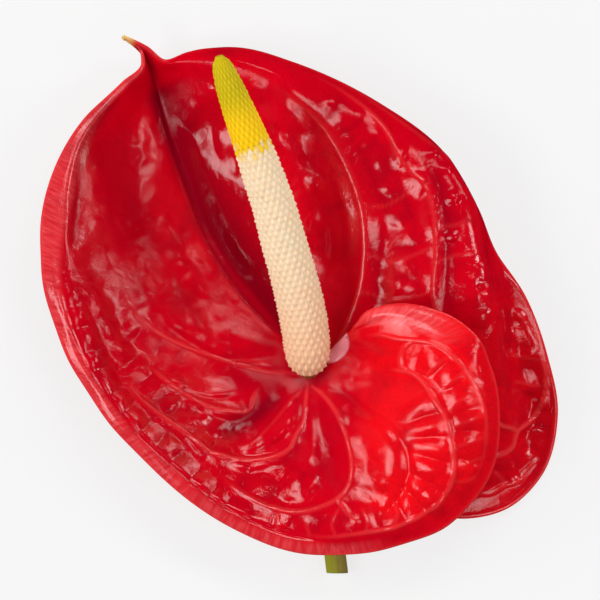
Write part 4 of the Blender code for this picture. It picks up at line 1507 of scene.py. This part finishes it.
@dataclass
class Spathe:
    """The heart-shaped spathe: a waved blade in two halves, with raised veins and pillows on its face."""

    thickness: float = 0.75
    rim_thickness: float = 0.5
    face_offset: float = 0.42
    least_height: float = 0.1
    floor_columns: int = 52
    quilt_columns: int = 34
    band_columns: int = 22
    quilt_from: float = 0.53
    band_from: float = 0.83
    back_step: int = 6
    # near the foot, up to each share, this many rows are merged into one
    merged: tuple[tuple[float, int], ...] = ((0.05, 8), (0.12, 4), (0.30, 2))
    # the skin's own cells, and where the low forms and the veins start from the margin and the foot
    cells: CellNet = CellNet(4.4, 11)
    cell_height: float = 0.15
    cell_wall: float = 0.6
    cell_curve: float = 1.5
    cell_least: float = 0.4
    cell_reach: Bounds = (5.0, 16.0)
    form_reach: Bounds = (1.4, 4.0)
    vein_reach: Bounds = (0.8, 2.5)
    calm_width: Bounds = (7.0, 30.0)
    calm_foot: Bounds = (1.5, 7.0)
    # the midrib's bead, and the margin's waves, bead, brow, roll and lining
    midrib_bead: Bead = Bead(0.14, 1.6, 0.55)
    midrib_width: Bounds = (4.0, 16.0)
    left_wave: float = 0.30
    right_wave: float = 0.12
    wave_length: float = 3.7
    wave_drift: float = 1.3
    drift_length: float = 17.0
    wave_reach: Bounds = (5.0, 0.0)
    margin_bead: Bead = Bead(0.14, 0.8, 0.5)
    brow_reach: float = 6.8
    brow_curve: float = 1.15
    roll_height: float = 0.3
    roll_reach: float = 3.6
    roll_groove: Bead = Bead(-0.25, 3.9, 0.5)
    lining_height: float = 0.3
    tones: Tones = Tones()

    def shares(self) -> np.ndarray:
        """Work out the columns, which lie closest together towards the margin.

        Returns:
            The way out from the foot of each column, from 0 to 1.
        """
        floor = np.linspace(0.0, self.quilt_from, self.floor_columns, endpoint=False)
        quilt = np.linspace(self.quilt_from, self.band_from, self.quilt_columns, endpoint=False)
        band = np.linspace(self.band_from, 1.0, self.band_columns)
        return np.concatenate((floor, quilt, band))

    def margin(self, side: Side, lay: Lay) -> np.ndarray:
        """Work out the form of the margin.

        Args:
            side: which half.
            lay: where its vertices lie.

        Returns:
            The height of its waves and bead, and of the brow and the rolled rim of the left half.
        """
        inward = lay.inward
        left = side is Side.LEFT
        turn = lay.run / self.wave_length + self.wave_drift * np.sin(lay.run / self.drift_length)
        wave = (self.left_wave if left else self.right_wave) * np.sin(turn) * ease(*self.wave_reach, inward)
        if left:
            lift = np.interp(lay.plan[:, 0], *zip(*BROW_LIFTS))
            brow = np.clip(1.0 - inward / self.brow_reach, 0.0, 1.0) ** self.brow_curve
            wave = wave + lift * brow * BROW.share(lay.plan)
            roll = self.roll_height * np.sin(np.pi * np.clip(inward / self.roll_reach, 0.0, 1.0))
            wave = wave + (roll + self.roll_groove.at(inward)) * ROLLED_RIM.share(lay.plan)
        return self.margin_bead.at(inward) + wave

    def relief(self, half: HalfSpathe, grid: np.ndarray) -> tuple[np.ndarray, dict[str, np.ndarray]]:
        """Work out the raised net, the pillows and the waves of one half.

        Args:
            half: the half.
            grid: its smooth points.

        Returns:
            The height of each vertex and its numbers for the finish.
        """
        lay = half.lay(grid)
        numbers = {name: np.zeros(len(lay.plan)) for name in ("vein", "deep_and_shade")}
        height = sum(form.raise_on(lay.plan, numbers) for form in half.forms)
        veins = np.max([vein.raise_on(lay.plan, numbers) for vein in half.veins], axis=0)
        wall, number = self.cells.read(lay.points)
        cells = np.minimum(wall / self.cell_wall, 1.0) ** self.cell_curve * (self.cell_least + number)
        height = height + self.cell_height * cells * ease(*self.cell_reach, lay.inward)
        height = height * ease(*self.form_reach, lay.inward) + veins * ease(*self.vein_reach, lay.inward)
        calm = ease(*self.calm_width, lay.width) * ease(*self.calm_foot, lay.outward)
        height = (height + self.margin(half.side, lay)) * calm
        beside = (lay.past_collar > 0) * ease(*self.midrib_width, lay.width)
        self.tones.mark(half.side, lay, numbers)
        height += self.midrib_bead.at(lay.outward) * beside + self.lining_height * numbers["lining_and_highlight"]
        return height, numbers

    def normals(self, grid: np.ndarray) -> np.ndarray:
        """Work out the upward normals of a surface.

        Args:
            grid: its points.

        Returns:
            One normal per point.
        """
        normal = np.cross(np.gradient(grid, axis=1), np.gradient(grid, axis=0))
        normal = normal / np.maximum(np.linalg.norm(normal, axis=2, keepdims=True), 1e-9)
        return normal if normal[..., 2].mean() > 0 else -normal

    def build(self, half: HalfSpathe) -> bpy.types.Object:
        """Build and dress one half as a closed shell.

        Args:
            half: the half.

        Returns:
            The piece.
        """
        shares = self.shares()
        grid = half.surface(shares)
        rows, columns = grid.shape[:2]
        height, numbers = self.relief(half, grid)
        raised = grid + self.normals(grid) * height.reshape(rows, columns)[..., None]
        raised[:, 0] = grid[:, 0]
        normal = self.normals(raised).reshape(-1, 3)
        face = raised.reshape(-1, 3) + normal * self.face_offset
        shape = bmesh.new()
        for name in ("spot", "side"):
            shape.verts.layers.int.new(name)
        spot, side = shape.verts.layers.int["spot"], shape.verts.layers.int["side"]
        for index, vert in enumerate(grid_vertices(shape, rows, columns)):
            vert[spot] = index
            vert.co = Vector((face[index] + FRAME_SHIFT) * MM)
        shape.normal_update()
        if sum(polygon.normal.z for polygon in shape.faces) < 0:
            bmesh.ops.reverse_faces(shape, faces=shape.faces[:])
        kept = set(shape.verts)
        bmesh.ops.extrude_face_region(shape, geom=shape.faces[:], use_keep_orig=True)
        thick = self.thickness + (self.rim_thickness - self.thickness) * numbers["edge"]
        for vert in shape.verts:
            if vert in kept:
                continue
            vert.co = vert.co - Vector(normal[vert[spot]]) * (thick[vert[spot]] * MM)
            vert.co.z = max(vert.co.z, self.least_height * MM)
            vert[side] = 1
        self.thin(shape, shares, rows - half.midrib_rows)
        bmesh.ops.recalc_face_normals(shape, faces=shape.faces[:])
        self.sharpen_seam(shape, columns)
        spots = np.array([vert[spot] for vert in shape.verts])
        backs = np.array([vert[side] for vert in shape.verts], float)
        finish = WaxySkin(f"waxy_red_{half.side.value}").make()
        piece = new_piece(f"spathe_{half.side.value}_half", shape, finish, "spathe")
        add_numbers(piece, numbers, spots)
        add_numbers(piece, {"back": backs}, np.arange(len(backs)))
        return piece

    def thin(self, shape: bmesh.types.BMesh, shares: np.ndarray, lobe_rows: int) -> None:
        """Merge faces where rows crowd together at the collar, and over most of the back.

        Args:
            shape: the closed half.
            shares: the shares of its columns.
            lobe_rows: how many of its rows start on the collar.
        """
        spot, side = shape.verts.layers.int["spot"], shape.verts.layers.int["side"]
        columns = len(shares)
        limits, rows = zip(*self.merged)
        strides = np.select([shares < limit for limit in limits], rows, 1)
        spare = []
        for edge in shape.edges:
            first, second = edge.verts
            if first[side] != second[side]:
                continue
            row, column = divmod(first[spot], columns)
            other_row, other_column = divmod(second[spot], columns)
            back = first[side] == 1
            if row == other_row:
                stride = int(strides[max(column, other_column)]) if row < lobe_rows else 1
                stride = max(stride, 2) if back else stride
                if row % stride and row > 0:
                    spare.append(edge)
            elif back and column % self.back_step and column != columns - 1:
                spare.append(edge)
        bmesh.ops.dissolve_edges(shape, edges=spare, use_verts=True)

    def sharpen_seam(self, shape: bmesh.types.BMesh, columns: int) -> None:
        """Keep the edge along the midrib's seam sharp, so that the two halves meet without a dark line.

        Args:
            shape: the closed half.
            columns: how many columns it has.
        """
        spot = shape.verts.layers.int["spot"]
        for edge in shape.edges:
            if all(vert[spot] % columns == 0 for vert in edge.verts):
                edge.smooth = False


@dataclass
class AxisFrames:
    """Rings round a bent axis, in millimetres."""

    axis: tuple
    look_ahead: float = 0.002

    def read(self, shares: np.ndarray) -> tuple[np.ndarray, np.ndarray, np.ndarray, np.ndarray]:
        """Read the axis.

        Args:
            shares: places along it, from 0 to 1.

        Returns:
            Centres, radii and the two directions across the axis.
        """
        table = np.array(self.axis)
        keys = lengths_along(table[:, :3])
        keys /= keys[-1]
        centres = smooth_curve(keys, table[:, :3], shares)
        radii = smooth_curve(keys, table[:, 3:], shares)[:, 0]
        ahead = smooth_curve(keys, table[:, :3], np.clip(shares + self.look_ahead, 0, 1))
        behind = smooth_curve(keys, table[:, :3], np.clip(shares - self.look_ahead, 0, 1))
        forward = ahead - behind
        forward /= np.linalg.norm(forward, axis=1)[:, None]
        across = np.cross(forward, (0.0, 0.0, 1.0))
        across /= np.linalg.norm(across, axis=1)[:, None]
        return centres, radii, across, np.cross(across, forward)

    def rings(self, shares: np.ndarray, angles: np.ndarray, radius: np.ndarray) -> np.ndarray:
        """Set points round the axis.

        Args:
            shares: the place of each ring, from 0 to 1.
            angles: the directions of its points.
            radius: the radius at each ring and angle.

        Returns:
            Points in millimetres, one row per ring.
        """
        centres, _, across, up = self.read(shares)
        turned = np.cos(angles)[None, :, None] * across[:, None, :]
        turned = turned + np.sin(angles)[None, :, None] * up[:, None, :]
        return centres[:, None, :] + radius[:, :, None] * turned

    def length(self) -> float:
        """Length of the axis."""
        return float(lengths_along(np.array(self.axis)[:, :3])[-1])


def wrap_grid(rings: np.ndarray) -> tuple[bmesh.types.BMesh, np.ndarray]:
    """Wrap a grid into a closed round shape.

    Args:
        rings: points in millimetres, one row per ring, whose first and last rings are single points.

    Returns:
        The shape in metres, and the spot of each of its vertices, counted along the rings.
    """
    count, around = rings.shape[:2]
    shape = bmesh.new()
    spot = shape.verts.layers.int.new("spot")
    for index, vert in enumerate(grid_vertices(shape, count, around + 1)):
        ring, place = divmod(index, around + 1)
        vert.co = Vector((rings[ring, place % around] + FRAME_SHIFT) * MM)
        vert[spot] = ring * around + place % around
    bmesh.ops.remove_doubles(shape, verts=shape.verts[:], dist=1e-7)
    bmesh.ops.recalc_face_normals(shape, faces=shape.faces[:])
    return shape, np.array([vert[spot] for vert in shape.verts])


@dataclass
class FloretSpike:
    """One length of the spadix, with florets in a diamond pattern that runs on from its neighbour."""

    name: str
    node: str
    slot: str
    first: float
    last: float
    rows: int = 55
    florets: int = 19
    around_each: int = 8
    along_each: int = 6
    sunk: float = 0.05
    dome: float = 0.40
    dome_curve: float = 1.7
    ripe_dome: float = 0.8
    point: float = 0.26
    point_width: float = 0.26
    ripe_point: float = 0.25
    full_radius: float = 3.4
    ripe_bounds: Bounds = (-0.034, 0.006)
    ripe_scatter: float = 0.05
    peak_width: float = 0.34
    least_lift: float = 0.85
    lift_scatter: float = 0.3
    end_rise: float = 1.2
    seed: int = 5
    spare_rows: int = 8
    rows_before: int = 3

    def lattice(self, around: np.ndarray, along: np.ndarray) -> tuple[np.ndarray, np.ndarray, np.ndarray]:
        """Place points among the florets.

        Args:
            around: position round the spike, in florets.
            along: position along it, in rows.

        Returns:
            The diamond and the round distance from the floret's middle, and the floret's own random number.
        """
        diamond, circle = np.full((2, *around.shape), np.inf)
        own = np.zeros(around.shape)
        count = self.rows + self.spare_rows
        table = np.random.default_rng(self.seed).random((count, self.florets))
        for step in (-1, 0, 1, 2):
            row = np.floor(along).astype(int) + step
            offset = 0.5 * (row % 2)
            place = np.round(around - offset)
            across = around - offset - place
            up = along - row
            size = np.abs(2 * across) + np.abs(up)
            closer = size < diamond
            drawn = table[(row + self.rows_before) % count, place.astype(int) % self.florets]
            own = np.where(closer, drawn, own)
            circle = np.where(closer, np.hypot(2 * across, up), circle)
            diamond = np.minimum(diamond, size)
        return np.clip(diamond, 0.0, 1.0), circle, own

    def build(self) -> bpy.types.Object:
        """Build and dress the spike.

        Returns:
            The piece.
        """
        frames = AxisFrames(SPADIX_AXIS)
        count = int((self.last - self.first) * self.rows * self.along_each) + 1
        around = self.florets * self.around_each
        shares = np.linspace(self.first, self.last, count)
        centres, radii, _, _ = frames.read(shares)
        turn, row = np.meshgrid(np.arange(around) / self.around_each, shares * self.rows)
        diamond, circle, own = self.lattice(turn, row)
        start, full = (RIPE_FROM + bound for bound in self.ripe_bounds)
        ripe = ease(start, full, shares[:, None] + (own - 0.5) * self.ripe_scatter)
        young = (1.0 - diamond**self.dome_curve) * (1.0 - ripe)
        domed = young + (1.0 - np.clip(circle, 0.0, 1.0) ** 2) * self.ripe_dome * ripe
        point = self.point * bell(circle, 0.0, self.point_width) * (1.0 - (1.0 - self.ripe_point) * ripe)
        lift = (self.dome * domed + point) * np.minimum(1.0, radii / self.full_radius)[:, None]
        from_ends = np.minimum(shares, 1.0 - shares)[:, None] * self.rows
        lift = lift * (self.least_lift + self.lift_scatter * own)
        lift = lift * np.clip(from_ends * self.end_rise, 0.0, 1.0)
        angles = np.arange(around) * 2 * np.pi / around
        rings = frames.rings(shares, angles, radii[:, None] - self.sunk + lift)
        caps = [np.repeat(centres[end][None, None, :], around, axis=1) for end in (0, -1)]
        shape, spots = wrap_grid(np.concatenate((caps[0], rings, caps[1])))
        piece = new_piece(self.name, shape, FloretSkin(self.name + "_satin").make(), self.node)
        numbers = {
            "along": np.repeat(shares[:, None], around, axis=1),
            "peak": bell(circle, 0.0, self.peak_width),
            "groove": np.where(ripe > 0.5, np.clip(circle, 0.0, 1.0), diamond) ** 3,
            "own": own,
            "ripe": ripe,
        }
        for name, values in numbers.items():
            numbers[name] = np.concatenate((values[:1], values, values[-1:])).reshape(-1)
        add_numbers(piece, numbers, spots)
        return piece


@dataclass
class Stem:
    """The short stem, cut straight across, and the neck that carries the spadix."""

    body_rings: int = 110
    sides: int = 72
    ribs: int = 9
    rib_depth: float = 0.0125
    # the cut face's rings: share of the radius, and how far each lies inside the end
    cut: tuple[tuple[float, float], ...] = (
        (0.0, 0.25), (0.35, 0.22), (0.70, 0.12), (0.90, 0.02), (0.97, 0.0),
    )
    # how much of the painted sheen shows down one side, and where round the stem it comes in
    shade: float = 0.75
    sheen_side: Bounds = (-0.5, 0.9)
    neck_from: Bounds = (0.86, 0.93)
    streak_turn: float = 2.7

    def build(self) -> bpy.types.Object:
        """Build and dress the stem.

        Returns:
            The piece.
        """
        frames = AxisFrames(STEM_AXIS)
        flat = len(self.cut)
        cut_shares, depths = np.array(self.cut).T
        shares = np.concatenate((np.zeros(flat), np.linspace(0.0, 1.0, self.body_rings), [1.0]))
        factor = np.concatenate((cut_shares, np.ones(self.body_rings), [0.0]))
        angles = np.arange(self.sides) * 2 * np.pi / self.sides
        ribbed = 1.0 + self.rib_depth * (np.cos(angles * self.ribs) - 1.0)
        radius = (frames.read(shares)[1] * factor)[:, None] * ribbed[None, :]
        rings = frames.rings(shares, angles, radius)
        rings[: flat + 1, :, 1] = STEM_AXIS[0][1] + np.append(depths, 0.0)[:, None]
        rings[:, :, 2] = np.maximum(rings[:, :, 2], 0.0)
        shape, spots = wrap_grid(rings)
        piece = new_piece("stem_skin", shape, StemSkin().make(), "stem")
        around, along = np.meshgrid(angles, shares)
        on_cut = np.arange(len(shares)) < flat
        numbers = {
            # painted sheen down one side
            "round": ease(*self.sheen_side, np.cos(around)) * self.shade,
            "cut": np.broadcast_to((on_cut & (factor < 0.95))[:, None], along.shape),
            "neck": ease(*self.neck_from, along),
        }
        numbers = {name: values.reshape(-1) for name, values in numbers.items()}
        skin = np.stack((around * self.streak_turn, along * frames.length(), np.zeros(along.shape)), axis=2)
        add_numbers(piece, {**numbers, "skin": skin.reshape(-1, 3)}, spots)
        return piece


@dataclass(frozen=True)
class SoftBox:
    """One soft studio light, aimed at the flower from an azimuth and an angle off the vertical."""

    name: str
    azimuth: float
    off_vertical: float
    size: tuple[float, float]
    radiance: float
    distance: float = 1.0
    mirrored: bool = True

    def build(self) -> None:
        """Add the light."""
        light = bpy.data.lights.new(self.name, "AREA")
        light.shape = "RECTANGLE"
        light.size, light.size_y = self.size
        light.energy = self.radiance * math.pi * self.size[0] * self.size[1]
        lamp = bpy.data.objects.new(self.name, light)
        turn, lean = math.radians(self.azimuth), math.radians(self.off_vertical)
        away = Vector((math.sin(lean) * math.cos(turn), math.sin(lean) * math.sin(turn), math.cos(lean)))
        lamp.location = away * self.distance
        lamp.rotation_euler = (-away).to_track_quat("-Z", "Y").to_euler()
        lamp.visible_glossy = self.mirrored
        bpy.context.scene.collection.objects.link(lamp)


@dataclass
class Studio:
    """The pale floor, the soft lights and the camera over the flower."""

    lens: float = 300.0
    sensor: float = 36.0
    nearest: float = 0.01
    air: float = 0.31
    white: tuple = (1.0, 1.0, 1.0, 1.0)
    floor_half: float = 3.0
    floor_grey: tuple = colour(110, 110, 110)
    floor_roughness: float = 0.9
    floor_glow: float = 0.742
    boxes: tuple[SoftBox, ...] = (
        SoftBox("softbox_left", -150.0, 42.0, (0.36, 0.34), 7.0),
        SoftBox("softbox_right", 8.5, 55.0, (0.15, 0.20), 16.0),
        SoftBox("softbox_top", 75.0, 35.5, (0.54, 0.22), 7.4),
        SoftBox("softbox_low", -27.0, 30.5, (0.28, 0.26), 5.2),
        SoftBox("softbox_back", 38.0, 74.0, (0.22, 0.22), 6.0),
        SoftBox("fill", 172.0, 56.0, (0.70, 0.70), 3.2, mirrored=False),
    )

    def build(self) -> None:
        """Set the stage."""
        self.floor()
        for box in self.boxes:
            box.build()
        world = bpy.data.worlds.new("studio_air")
        world.use_nodes = True
        background = world.node_tree.nodes["Background"]
        background.inputs["Color"].default_value = self.white
        background.inputs["Strength"].default_value = self.air
        world.cycles_visibility.glossy = False
        bpy.context.scene.world = world
        bpy.context.scene.view_settings.view_transform = "Standard"
        self.camera()

    def floor(self) -> None:
        """Add the plain pale floor."""
        shape = bmesh.new()
        bmesh.ops.create_grid(shape, x_segments=1, y_segments=1, size=self.floor_half)
        mesh = bpy.data.meshes.new("studio_floor")
        shape.to_mesh(mesh)
        shape.free()
        finish = Recipe("pale_floor").finish({
            "Base Color": self.floor_grey,
            "Roughness": self.floor_roughness,
            "Emission Color": self.white,
            "Emission Strength": self.floor_glow,
        })
        mesh.materials.append(finish)
        floor = bpy.data.objects.new("studio_floor", mesh)
        floor.visible_glossy = False
        bpy.context.scene.collection.objects.link(floor)

    def camera(self) -> None:
        """Look straight down on the flower."""
        lens = bpy.data.cameras.new("camera")
        lens.lens = self.lens
        lens.sensor_width = self.sensor
        lens.clip_start = self.nearest
        camera = bpy.data.objects.new("camera", lens)
        camera.location = Vector(CAMERA * MM)
        bpy.context.scene.collection.objects.link(camera)
        bpy.context.scene.camera = camera


def main() -> None:
    """Build the studio and every piece of the flower."""
    logging.basicConfig(level=logging.INFO, format="%(message)s")
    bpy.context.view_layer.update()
    Studio().build()
    spathe = Spathe()
    veins, forms = (*LEFT_VEINS, *LEFT_CROSS_VEINS), (*LEFT_FOLDS, *LEFT_STROKES, *LEFT_PILLOWS)
    spathe.build(HalfSpathe(Side.LEFT, LEFT_RIBS, LEFT_LIFTS, veins, forms))
    veins, forms = (*RIGHT_VEINS, *RIGHT_CROSS_VEINS), (*RIGHT_FOLDS, *RIGHT_STROKES, *RIGHT_PILLOWS)
    spathe.build(HalfSpathe(Side.RIGHT, RIGHT_RIBS, RIGHT_LIFTS, veins, forms))
    seam = SPADIX_SEAM / AxisFrames(SPADIX_AXIS).length()
    FloretSpike("spadix_florets", "spadix", "spadix_cream", 0.0, RIPE_FROM - seam).build()
    FloretSpike("spadix_tip_florets", "spadix_tip", "spadix_yellow_green", RIPE_FROM + seam, 1.0).build()
    Stem().build()


if __name__ == "__main__":
    main()
